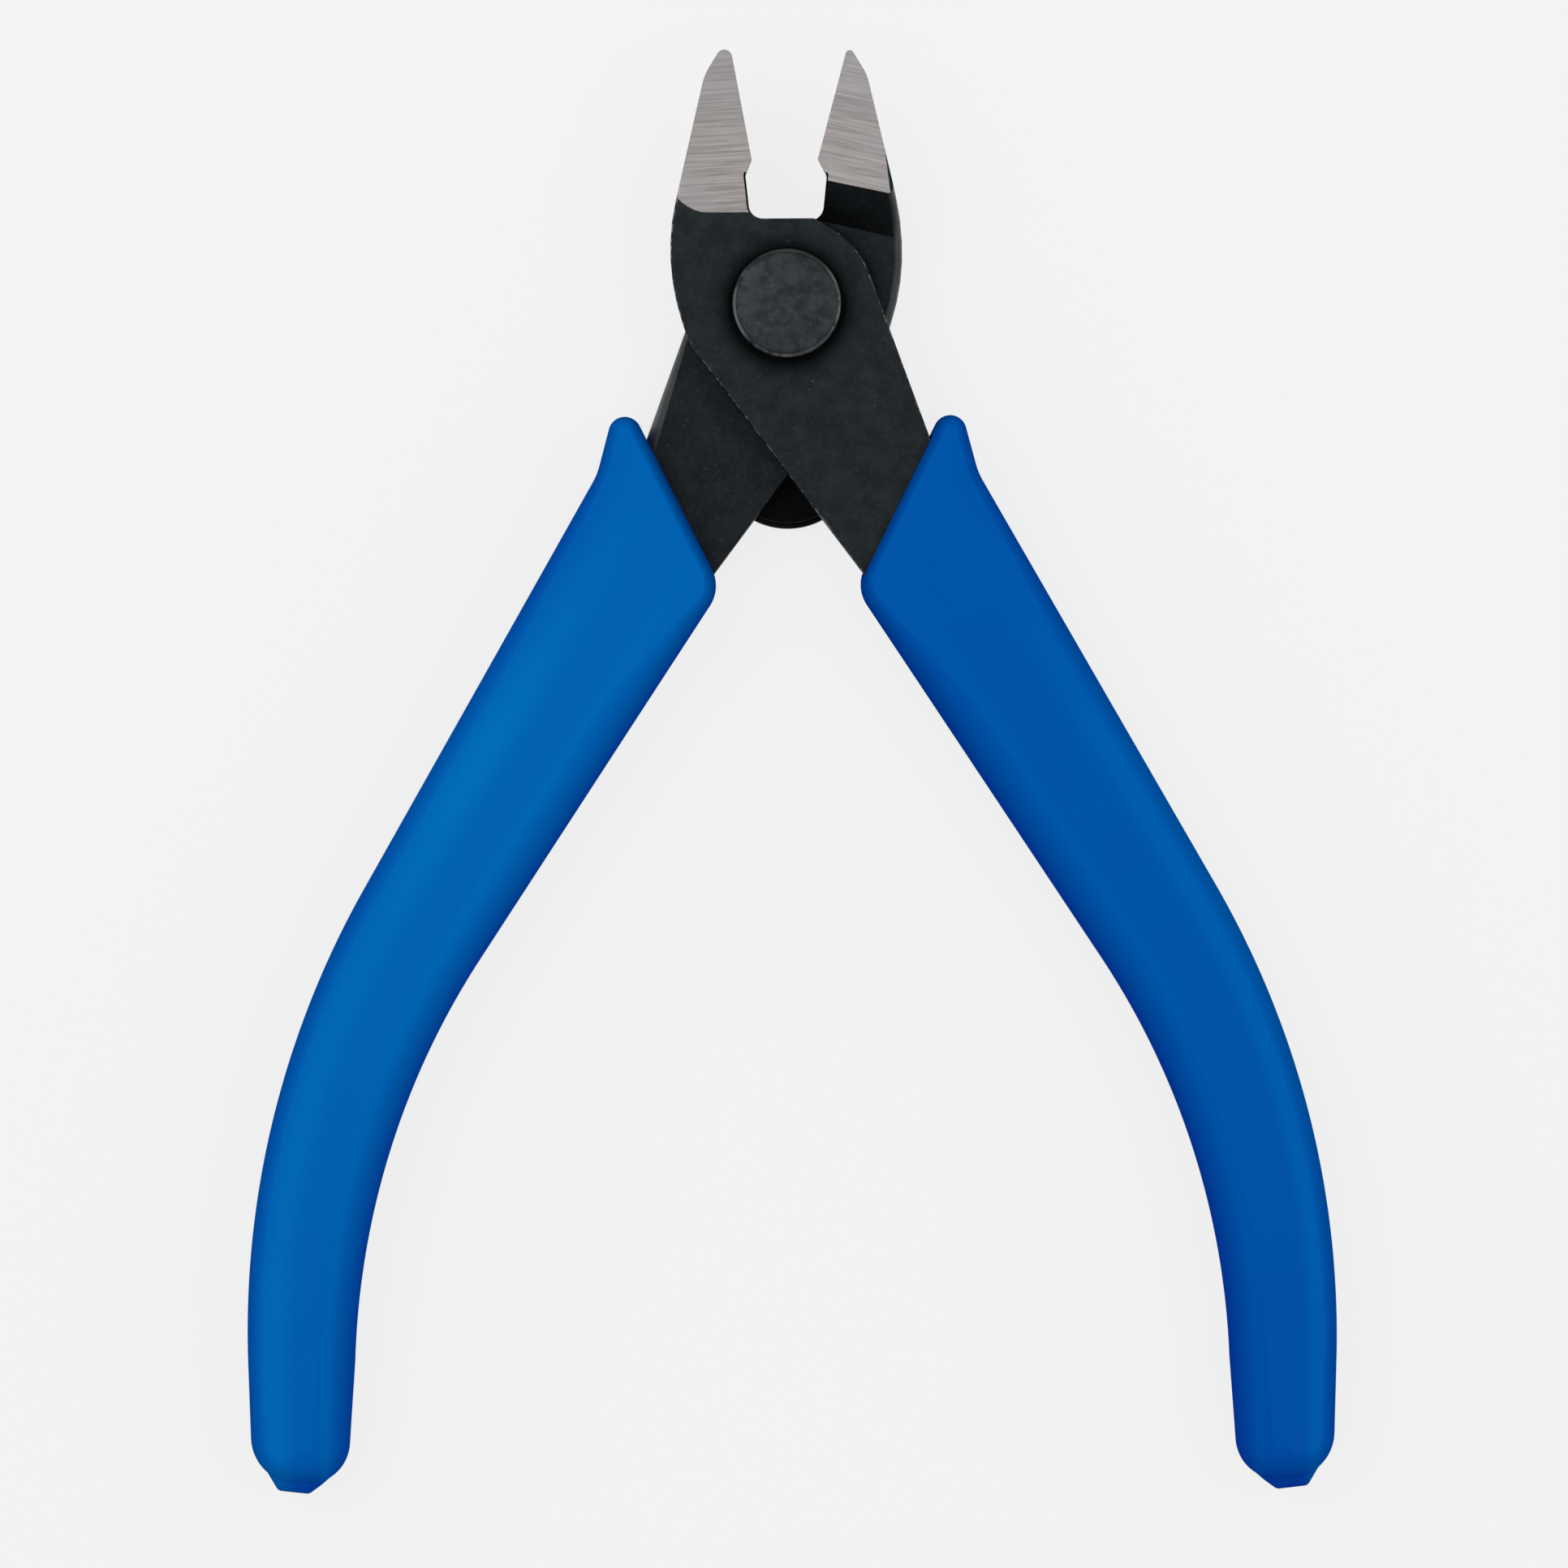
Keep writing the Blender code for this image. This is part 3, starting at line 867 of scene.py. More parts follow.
@dataclass(frozen=True)
class SleevePlastic(Finish):
    """Satin blue vinyl of the sleeves.

    It carries painted shade and is duller where the sides turn down, with a painted highlight band inside
    the outer edge and a faint one inside the inner edge.
    """

    name: str
    lies: Side
    line: HandleLine
    face: Colour
    # side: painted shade where the sides turn down and at the outer edge
    side: Colour
    # highlight_band: colour of the painted highlight bands
    highlight_band: Colour
    band_middle: float
    band_reach: float
    band_fall: float
    edge_share: float
    edge_end: float = 0.6
    edge_from: float = 0.45
    ear_from: float = 0.008
    ear_full: float = 0.020
    fall_from: float = 0.036
    fall_full: float = 0.054
    inner_band: float = -0.52
    inner_reach: float = 0.2
    inner_share: float = 0.35
    band_from: float = 0.016
    band_full: float = 0.045
    fade_from: float = 0.055
    fade_full: float = 0.105
    fade_share: float = 0.3
    cloud: Noise = Noise(60.0, 2.0, 0.3, 0.7)
    cloud_least: float = 0.94
    cloud_share: float = 0.06
    half_height: float = 0.005
    half_mouth: float = SLEEVE_HALF_MOUTH
    half_end: float = SLEEVE_HALF_END
    mouth_y: float = -0.0208
    end_y: float = -0.1024
    side_until: float = 0.25
    face_from: float = 0.99
    satin_from: float = 0.994
    satin_full: float = 0.9995
    sheen: Colour = (0.02, 0.5, 0.6)
    specular: float = 0.3
    roughness: float = 0.36
    uneven: Noise = Noise(700.0, 3.0)
    uneven_gloss: float = 0.14
    dull_roughness: float = 0.8
    grain: Noise = Noise(2600.0, 3.0)
    grain_depth: float = 0.000014
    grain_share: float = 0.5

    def across(self, paint: Paint) -> Wire:
        """Return the place across the sleeve.

        Args:
            paint: the material's tree.

        Returns:
            A wire of -1 at the inner edge, 0 on the handle line and 1 at the outer edge.
        """
        line = self.line
        x = paint.axis("X") * float(self.lies.value)
        y = paint.ahead()
        sine, cosine = math.sin(line.heading), math.cos(line.heading)
        centre_x, centre_y = line.bend_centre
        straight = x * cosine + y * sine - line.offset
        aside, below = x - centre_x, y - centre_y
        bent = (aside * aside + below * below) ** 0.5 - line.bend_radius
        tail = aside - line.bend_radius
        past_straight = (x * sine - y * cosine) > line.bend_start
        past_bend = y < centre_y
        offset = straight + (bent - straight) * past_straight
        offset = offset + (tail - offset) * past_bend
        taper = (self.half_mouth - self.half_end) / (self.mouth_y - self.end_y)
        half = (self.half_end + (y - self.end_y) * taper).at_least(self.half_end)
        return offset / half

    def colour(self, paint: Paint, height: Wire) -> Wire:
        """Return the colour, with painted highlight bands, painted shade on its sides and outer edge, and
        deeper towards the end.

        Args:
            paint: the material's tree.
            height: distance from the middle of the thickness, 1 on the flat faces.

        Returns:
            The colour as a wire.
        """
        across = self.across(paint)
        down = PIVOT_Y - paint.axis("Y")
        near_end = down.step(self.fade_from, self.fade_full)
        cloud = self.cloud_least + paint.mask(self.cloud) * self.cloud_share
        # Painted shade on the sides as they turn down
        colour = paint.mix(height.step(self.side_until, self.face_from) * cloud, self.side, self.face)
        # Darker towards the end
        colour = paint.mix(near_end * self.fade_share, colour, self.side)
        # Painted highlight bands inside the outer edge and, fainter, inside the inner edge
        outer = across.step(self.band_middle - self.band_reach, self.band_middle)
        outer = outer * (1.0 - down.step(self.fall_from, self.fall_full) * self.band_fall)
        inner = 1.0 - (across - self.inner_band).size().step(0.0, self.inner_reach)
        highlight_band = outer.at_least(inner * self.inner_share) * down.step(self.band_from, self.band_full)
        colour = paint.mix(highlight_band, colour, self.highlight_band)
        # Painted shade at the outer edge, more of it towards the end
        edge = across.step(self.edge_from, 1.0) * down.step(self.ear_from, self.ear_full)
        edge_share = self.edge_share + near_end * (self.edge_end - self.edge_share)
        return paint.mix(edge * edge_share, colour, self.side)

    def shader(self, paint: Paint) -> Wire:
        """Return the vinyl's shader, satin on the flat faces and dull round the sides.

        Args:
            paint: the material's tree.

        Returns:
            The shader as a wire.
        """
        height = (paint.axis("Z") - self.half_height).size() / self.half_height
        colour = self.colour(paint, height)
        normal = paint.bump(paint.noise(self.grain), self.grain_depth, self.grain_share)
        satin = paint.shader(
            Base_Color=colour,
            Roughness=self.roughness + paint.noise(self.uneven).swing(self.uneven_gloss),
            Specular_IOR_Level=self.specular,
            Specular_Tint=(*self.sheen, 1.0),
            Normal=normal,
        )
        dull = paint.shader(
            Base_Color=colour,
            Roughness=self.dull_roughness,
            Specular_IOR_Level=0.0,
            Normal=normal,
        )
        return paint.blend(height.step(self.satin_from, self.satin_full), dull, satin)


@dataclass(frozen=True)
class PaleTable(Finish):
    """The plain pale floor, evened out where it is seen, with a trace of shadow left."""

    name: str = "pale_table"
    matt: Colour = (0.68, 0.68, 0.68)
    seen: Colour = (0.94, 0.94, 0.94)
    evened: float = 0.86
    roughness: float = 0.9
    specular: float = 0.1
    seen_by: tuple[str, ...] = ("Is Camera Ray", "Is Glossy Ray", "Is Transmission Ray")

    def shader(self, paint: Paint) -> Wire:
        """Return the floor's shader.

        Args:
            paint: the material's tree.

        Returns:
            The shader as a wire.
        """
        rays = [paint.node("ShaderNodeLightPath", output=kind) for kind in self.seen_by]
        share = (rays[0] + rays[1] + rays[2]).at_most(1.0) * self.evened
        floor = paint.shader(
            Base_Color=(*self.matt, 1.0),
            Roughness=self.roughness,
            Specular_IOR_Level=self.specular,
        )
        glow = paint.node("ShaderNodeEmission", {}, {"Color": (*self.seen, 1.0)})
        return paint.blend(share, floor, glow)


# Outlines

def rounded(corners: Sequence[tuple[float, float, float]], step: float) -> list[Point2]:
    """Return an outline through corners, each rounded by an arc.

    Args:
        corners: x, y and radius of each corner; a radius of 0 keeps the point.
        step: largest turn between two points of an arc, in radians.

    Returns:
        The points of the outline.
    """
    points: list[Point2] = []
    count = len(corners)
    for index, (x, y, radius) in enumerate(corners):
        if radius == 0.0:
            points.append((x, y))
            continue
        before = corners[index - 1]
        after = corners[(index + 1) % count]
        to_before = math.atan2(before[1] - y, before[0] - x)
        to_after = math.atan2(after[1] - y, after[0] - x)
        opening = (to_after - to_before + math.pi) % (2 * math.pi) - math.pi
        middle = to_before + opening / 2
        reach = radius / math.sin(abs(opening) / 2)
        centre = (x + reach * math.cos(middle), y + reach * math.sin(middle))
        sweep = math.copysign(math.pi - abs(opening), -opening)
        steps = max(2, math.ceil(abs(sweep) / step))
        first = middle + math.pi - sweep / 2
        for number in range(steps + 1):
            turn = first + sweep * number / steps
            points.append((centre[0] + radius * math.cos(turn), centre[1] + radius * math.sin(turn)))
    return points


def meet(line_a: Point2, line_b: Point2) -> Point2:
    """Return where two lines cross.

    Args:
        line_a: angle of the first line's normal in degrees and its distance from the rivet's axis.
        line_b: the same for the second line.

    Returns:
        The point where they cross.
    """
    ax, ay = math.cos(math.radians(line_a[0])), math.sin(math.radians(line_a[0]))
    bx, by = math.cos(math.radians(line_b[0])), math.sin(math.radians(line_b[0]))
    cross = ax * by - ay * bx
    return ((line_a[1] * by - line_b[1] * ay) / cross, (ax * line_b[1] - bx * line_a[1]) / cross)


@dataclass(frozen=True)
class HandleLine:
    """The middle line of a handle: straight from beside the rivet, then bent to run along -Y."""

    angle: float = 31.5
    offset: float = -0.00075
    bend_start: float = 0.0624
    bend_radius: float = 0.073

    @property
    def heading(self) -> float:
        """Angle of the straight stretch from -Y, in radians."""
        return math.radians(self.angle)

    @property
    def bend_length(self) -> float:
        """Length of the bend."""
        return self.bend_radius * self.heading

    def point(self, station: float, offset: float) -> Point2:
        """Return a point beside the line.

        Args:
            station: distance along the line.
            offset: distance outwards from it.

        Returns:
            The point.
        """
        along = min(station, self.bend_start)
        x = self.offset * math.cos(self.heading) + along * math.sin(self.heading)
        y = self.offset * math.sin(self.heading) - along * math.cos(self.heading)
        bent = min(max(station - self.bend_start, 0.0) / self.bend_radius, self.heading)
        now = self.heading - bent
        x += self.bend_radius * (math.cos(now) - math.cos(self.heading))
        y -= self.bend_radius * (math.sin(self.heading) - math.sin(now))
        y -= max(0.0, station - self.bend_start - self.bend_length)
        return (x + offset * math.cos(now), y + offset * math.sin(now))

    @property
    def bend_centre(self) -> Point2:
        """Middle of the bend's circle.

        Returns:
            The point.
        """
        from_line = self.offset - self.bend_radius
        x = from_line * math.cos(self.heading) + self.bend_start * math.sin(self.heading)
        y = from_line * math.sin(self.heading) - self.bend_start * math.cos(self.heading)
        return (x, y)

    def bend_stations(self, steps: int) -> list[float]:
        """Return stations spread evenly over the bend."""
        return [self.bend_start + self.bend_length * step / steps for step in range(steps + 1)]


# Mesh tools

def link(name: str, mesh: bpy.types.Mesh) -> bpy.types.Object:
    """Return a new object of a mesh, in the scene.

    Args:
        name: name of the object.
        mesh: its mesh.

    Returns:
        The object.
    """
    thing = bpy.data.objects.new(name, mesh)
    bpy.context.scene.collection.objects.link(thing)
    return thing


def loft(name: str, sections: Sequence[Sequence[Point3]]) -> bpy.types.Object:
    """Return a solid through closed sections, moved from the rivet's axis to the frame.

    Args:
        name: name of the object.
        sections: rings of points of equal length.

    Returns:
        The closed object, facing out.
    """
    shape = bmesh.new()
    rings = [[shape.verts.new((x, y + PIVOT_Y, z)) for x, y, z in section] for section in sections]
    for lower, upper in zip(rings, rings[1:]):
        for index in range(len(lower)):
            after = (index + 1) % len(lower)
            shape.faces.new((lower[index], lower[after], upper[after], upper[index]))
    shape.faces.new(list(reversed(rings[0])))
    shape.faces.new(rings[-1])
    if shape.calc_volume(signed=True) < 0.0:
        bmesh.ops.reverse_faces(shape, faces=shape.faces)
    mesh = bpy.data.meshes.new(name)
    shape.to_mesh(mesh)
    shape.free()
    return link(name, mesh)


def combine(thing: bpy.types.Object, other: bpy.types.Object, operation: str) -> None:
    """Cut another object from a thing, or join it on, for good.

    Args:
        thing: the object that is kept.
        other: the object that is used up.
        operation: DIFFERENCE or UNION.
    """
    modifier = thing.modifiers.new("combine", "BOOLEAN")
    modifier.operation = operation
    modifier.solver = "EXACT"
    modifier.object = other
    bake_modifiers(thing)
    bpy.data.objects.remove(other, do_unlink=True)


def bake_modifiers(thing: bpy.types.Object) -> None:
    """Turn an object's modifiers into plain mesh.

    Args:
        thing: the object.
    """
    graph = bpy.context.evaluated_depsgraph_get()
    mesh = bpy.data.meshes.new_from_object(thing.evaluated_get(graph))
    mesh.name = thing.name
    thing.modifiers.clear()
    thing.data = mesh


@contextmanager
def editing(mesh: bpy.types.Mesh) -> Iterator[bmesh.types.BMesh]:
    """Open a mesh for editing, and write it back at the end.

    Args:
        mesh: the mesh.

    Yields:
        Its editable form.
    """
    shape = bmesh.new()
    shape.from_mesh(mesh)
    yield shape
    shape.to_mesh(mesh)
    shape.free()


def smooth(thing: bpy.types.Object, sharp_from: float) -> None:
    """Shade an object smooth, with edges sharp from an angle in degrees."""
    thing.data.shade_smooth()
    thing.data.set_sharp_from_angle(angle=math.radians(sharp_from))


def flatten(thing: bpy.types.Object, is_flat: Callable[[bpy.types.MeshPolygon], bool]) -> None:
    """Give the flat faces of a smooth object their own normals.

    Args:
        thing: the object.
        is_flat: tells which faces are flat.
    """
    mesh = thing.data
    normals = [tuple(corner.vector) for corner in mesh.corner_normals]
    for face in mesh.polygons:
        if is_flat(face):
            for corner in face.loop_indices:
                normals[corner] = tuple(face.normal)
    mesh.normals_split_custom_set(normals)


def mirrored(points: Iterable[Point3], side: Side) -> list[Point3]:
    """Return points with X turned over on the left side."""
    return [(side.value * x, y, z) for x, y, z in points]


# Sub-assemblies

@dataclass
class Half:
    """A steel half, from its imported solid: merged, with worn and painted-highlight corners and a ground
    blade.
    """

    node: str
    lever: Lever
    oxide: BlackOxide
    ground: GroundSteel
    tang_round: float = 0.0
    tang_facets: int = 6
    tang_from: float = -0.002
    tang_seen: float = 0.040
    cheek_share: float = 0.42
    cheek_from: float = -0.004
    corner: float = 0.00018
    corner_facets: int = 2
    plain_share: float = 0.6
    sharp: float = 24.0
    shade_sharp: float = 34.0
    flat: float = 0.4
    thin: float = 0.0003
    back_from: float = 0.0118
    blade_from: float = 0.0115
    bore_reach: float = 0.0035
    heel_top: float = 0.0038
    heel_centre: Point2 = (0.0, -0.0129)
    heel_reach: float = 0.0062
    level_up: float = 0.99999
    level_digits: int = 5
    level_weight: int = 80
    broad_up: float = 0.7
    ground_up: float = 0.99
    ground_lean: float = 0.03
    back_down: float = -0.3
    heel_down: float = -0.5
    corner_up: float = 0.3
    lap_up: float = 0.6
    wall_lean: float = 0.1
    wall_aside: float = 0.7
    piece: bpy.types.Object | None = field(default=None, init=False)

    def build(self, frame: dict[str, Any]) -> None:
        """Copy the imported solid, merge it, sort its skins and round its corners.
        """
        mesh = frame["nodes"][self.node].data.copy()
        mesh.materials.clear()
        # HeelShade is painted shade on the heel; the wide roundings get painted highlight
        skins = (self.oxide, self.ground, WornEdge(self.oxide), HeelShade(), PaintedHighlightOxide(self.oxide))
        for finish in skins:
            mesh.materials.append(finish.material())
        self.piece = link(self.node + "_steel", mesh)
        with editing(mesh) as shape:
            bmesh.ops.remove_doubles(shape, verts=shape.verts, dist=MERGE)
            flat = math.radians(self.flat)
            bmesh.ops.dissolve_limit(shape, angle_limit=flat, verts=shape.verts, edges=shape.edges)
            for face in shape.faces:
                face.material_index = self.skin_of(face).value
        # The wide roundings carry painted highlight
        if self.tang_round > 0.0:
            self.round_corners(self.lap_weight, self.tang_round, self.tang_facets, Skin.PAINTED_HIGHLIGHT)
        self.round_corners(self.sharp_weight, self.corner, self.corner_facets, Skin.WORN)
        self.refill()
        self.shade()

    def round_corners(
        self,
        weight_of: Callable[[bmesh.types.BMEdge], float],
        width: float,
        segments: int,
        skin: Skin,
    ) -> None:
        """Round some of the corners.

        Args:
            weight_of: gives the share of the width at an edge, 0 to leave it.
            width: width of the rounding.
            segments: facets across it.
            skin: the skin of the new faces.
        """
        with editing(self.piece.data) as shape:
            layers = shape.edges.layers.float
            weights = layers.get("bevel_weight_edge") or layers.new("bevel_weight_edge")
            for edge in shape.edges:
                edge[weights] = weight_of(edge)
        bevel = self.piece.modifiers.new("round", "BEVEL")
        bevel.limit_method = "WEIGHT"
        bevel.width = width
        bevel.segments = segments
        bevel.material = skin.value
        bevel.use_clamp_overlap = False
        bake_modifiers(self.piece)

    def refill(self) -> None:
        """Fill the level faces afresh inside their rounded rims, so that none overlaps itself."""
        with editing(self.piece.data) as shape:
            groups: dict[tuple[float, float, int], list[bmesh.types.BMFace]] = {}
            for face in shape.faces:
                if abs(face.normal.z) > self.level_up:
                    level = round(face.calc_center_median().z, self.level_digits)
                    key = (level, math.copysign(1.0, face.normal.z), face.material_index)
                    groups.setdefault(key, []).append(face)
            for (_, up, skin), faces in groups.items():
                self.refill_level(shape, faces, up, skin)

    @staticmethod
    def refill_level(
        shape: bmesh.types.BMesh,
        faces: list[bmesh.types.BMFace],
        up: float,
        skin: int,
    ) -> None:
        """Fill the level faces of one height and skin afresh.

        Args:
            shape: the mesh that is being edited.
            faces: its faces of that height and skin.
            up: 1 where they face up, -1 where they face down.
            skin: number of their skin.
        """
        edges = {edge for face in faces for edge in face.edges}
        bmesh.ops.delete(shape, geom=faces, context="FACES_ONLY")
        rim = [edge for edge in edges if len(edge.link_faces) == 1]
        loose = [edge for edge in edges if not edge.link_faces]
        bmesh.ops.delete(shape, geom=loose, context="EDGES")
        made = bmesh.ops.triangle_fill(shape, use_beauty=True, edges=rim, normal=(0.0, 0.0, up))["geom"]
        for face in made:
            if isinstance(face, bmesh.types.BMFace):
                face.material_index = skin
                face.normal_update()
                if face.normal.z * up < 0.0:
                    face.normal_flip()

    def shade(self) -> None:
        """Shade the roundings smooth and keep the broad faces flat."""
        smooth(self.piece, self.shade_sharp)
        with editing(self.piece.data) as shape:
            for edge in shape.edges:
                skins = {face.material_index for face in edge.link_faces}
                if Skin.GROUND.value in skins and len(skins) > 1:
                    edge.smooth = False
        level = self.piece.modifiers.new("level", "WEIGHTED_NORMAL")
        level.mode = "FACE_AREA"
        level.weight = self.level_weight
        level.keep_sharp = True
        bake_modifiers(self.piece)
        flatten(self.piece, self.is_broad)

    def is_broad(self, face: bpy.types.MeshPolygon) -> bool:
        """Return whether a face is one of the broad ones, and not part of a rounding."""
        rounds = (Skin.WORN.value, Skin.PAINTED_HIGHLIGHT.value)
        return abs(face.normal.z) > self.broad_up and face.material_index not in rounds

    def skin_of(self, face: bmesh.types.BMFace) -> Skin:
        """Tell a face's skin from its place and the way it faces.

        Args:
            face: the face.

        Returns:
            Whether it is ground, painted shade or blackened.
        """
        normal = face.normal
        centre = face.calc_center_median()
        if normal.z > self.ground_up and normal.y > self.ground_lean:
            return Skin.GROUND
        if normal.z < self.back_down and centre.y - PIVOT_Y > self.back_from:
            return Skin.GROUND
        # The heel in the crotch gets painted shade
        from_heel = math.dist((centre.x, centre.y - PIVOT_Y), self.heel_centre)
        if normal.z > self.heel_down and centre.z < self.heel_top and from_heel < self.heel_reach:
            return Skin.PAINTED_SHADE
        return Skin.OXIDE

    def is_sharp(self, edge: bmesh.types.BMEdge) -> bool:
        """Tell whether an edge is a sharp outer corner with room for a rounding, unlike a cutting edge.

        Args:
            edge: the edge.

        Returns:
            Whether it can be rounded.
        """
        if len(edge.link_faces) != 2 or not edge.is_convex:
            return False
        if min(self.depth_behind(edge, face) for face in edge.link_faces) < self.thin:
            return False
        return edge.calc_face_angle(0.0) > math.radians(self.sharp)

    @staticmethod
    def depth_behind(edge: bmesh.types.BMEdge, face: bmesh.types.BMFace) -> float:
        """Measure how far a face reaches away from one of its edges.

        Args:
            edge: the edge.
            face: the face.

        Returns:
            The largest distance of a corner from the edge's line.
        """
        start = edge.verts[0].co
        along = (edge.verts[1].co - start).normalized()
        return max((vert.co - start).cross(along).length for vert in face.verts)

    def sharp_weight(self, edge: bmesh.types.BMEdge) -> float:
        """Weigh the rounding of a sharp upper corner off the blade and the heel.

        Args:
            edge: the edge.

        Returns:
            Its share of the rounding, most beside a ground face.
        """
        skins = {face.material_index for face in edge.link_faces}
        middle = (edge.verts[0].co + edge.verts[1].co) / 2
        on_blade = max(vert.co.y for vert in edge.verts) - PIVOT_Y > self.blade_from
        in_bore = math.hypot(middle.x, middle.y - PIVOT_Y) < self.bore_reach
        below = max(face.normal.z for face in edge.link_faces) < self.corner_up
        sloping = min(face.normal.z for face in edge.link_faces) > self.corner_up
        if Skin.PAINTED_SHADE.value in skins or Skin.PAINTED_HIGHLIGHT.value in skins:
            return 0.0
        if on_blade or in_bore or below or sloping:
            return 0.0
        if not self.is_sharp(edge):
            return 0.0
        return 1.0 if Skin.GROUND.value in skins else self.plain_share

    def lap_weight(self, edge: bmesh.types.BMEdge) -> float:
        """Weigh the rounding of the upper corners of the tang's outer side and of the cheek.

        Args:
            edge: the edge.

        Returns:
            Its share of the rounding.
        """
        if not self.is_sharp(edge):
            return 0.0
        upper, wall = sorted(edge.link_faces, key=lambda face: -face.normal.z)
        ground = upper.material_index == Skin.GROUND.value
        if ground or upper.normal.z < self.lap_up or abs(wall.normal.z) > self.wall_lean:
            return 0.0
        middle = (edge.verts[0].co + edge.verts[1].co) / 2
        y = middle.y - PIVOT_Y
        if wall.normal.x < -self.wall_aside and -self.tang_seen < y < self.tang_from:
            return 1.0
        on_cheek = middle.x > self.bore_reach and y > self.cheek_from
        return self.cheek_share if wall.normal.x > self.wall_aside and on_cheek else 0.0

    def dress(self) -> None:
        """Give the half its place in the frame."""
        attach(self.piece, self.lever.value)
        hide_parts(self.node)


@dataclass
class Rivet:
    """The rivet, turned, with flat heads and rubbed rims."""

    head_radius: float = 0.00472
    head_height: float = 0.0009
    chamfer: float = 0.0004
    shank_radius: float = 0.0025
    back_seat: float = 0.0026
    front_seat: float = 0.0085
    soft: float = 0.00009
    soft_share: float = 0.3
    sides: int = 144
    shade_sharp: float = 40.0
    piece: bpy.types.Object | None = field(default=None, init=False)

    def build(self) -> None:
        """Turn the profile."""
        rings = []
        for radius, level in self.profile():
            ring = []
            for index in range(self.sides):
                turn = 2 * math.pi * index / self.sides
                ring.append((radius * math.cos(turn), radius * math.sin(turn), level))
            rings.append(ring)
        self.piece = loft("rivet_turned", rings)
        smooth(self.piece, self.shade_sharp)

    def profile(self) -> list[Point2]:
        """Return the turned outline.

        Returns:
            Radius and level of each ring, from the back head's face to the front head's.
        """
        front = self.front_seat + self.head_height
        head = [
            (self.head_radius, self.front_seat),
            (self.head_radius, front - self.chamfer - self.soft),
            (self.head_radius - self.soft_share * self.soft, front - self.chamfer),
            (self.head_radius - self.soft, front - self.chamfer + self.soft),
            (self.head_radius - self.chamfer + self.soft, front - self.soft),
            (self.head_radius - self.chamfer, front - self.soft_share * self.soft),
            (self.head_radius - self.chamfer - self.soft, front),
        ]
        middle = (self.front_seat + self.back_seat) / 2
        back = [(radius, 2 * middle - level) for radius, level in reversed(head)]
        shank = [(self.shank_radius, self.back_seat), (self.shank_radius, self.front_seat)]
        return back + shank + head

    def dress(self) -> None:
        """Give the rivet its finish and its place in the frame."""
        self.piece.data.materials.append(RivetSteel().material())
        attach(self.piece, Lever.FRONT.value)
        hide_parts("pivot_rivet")


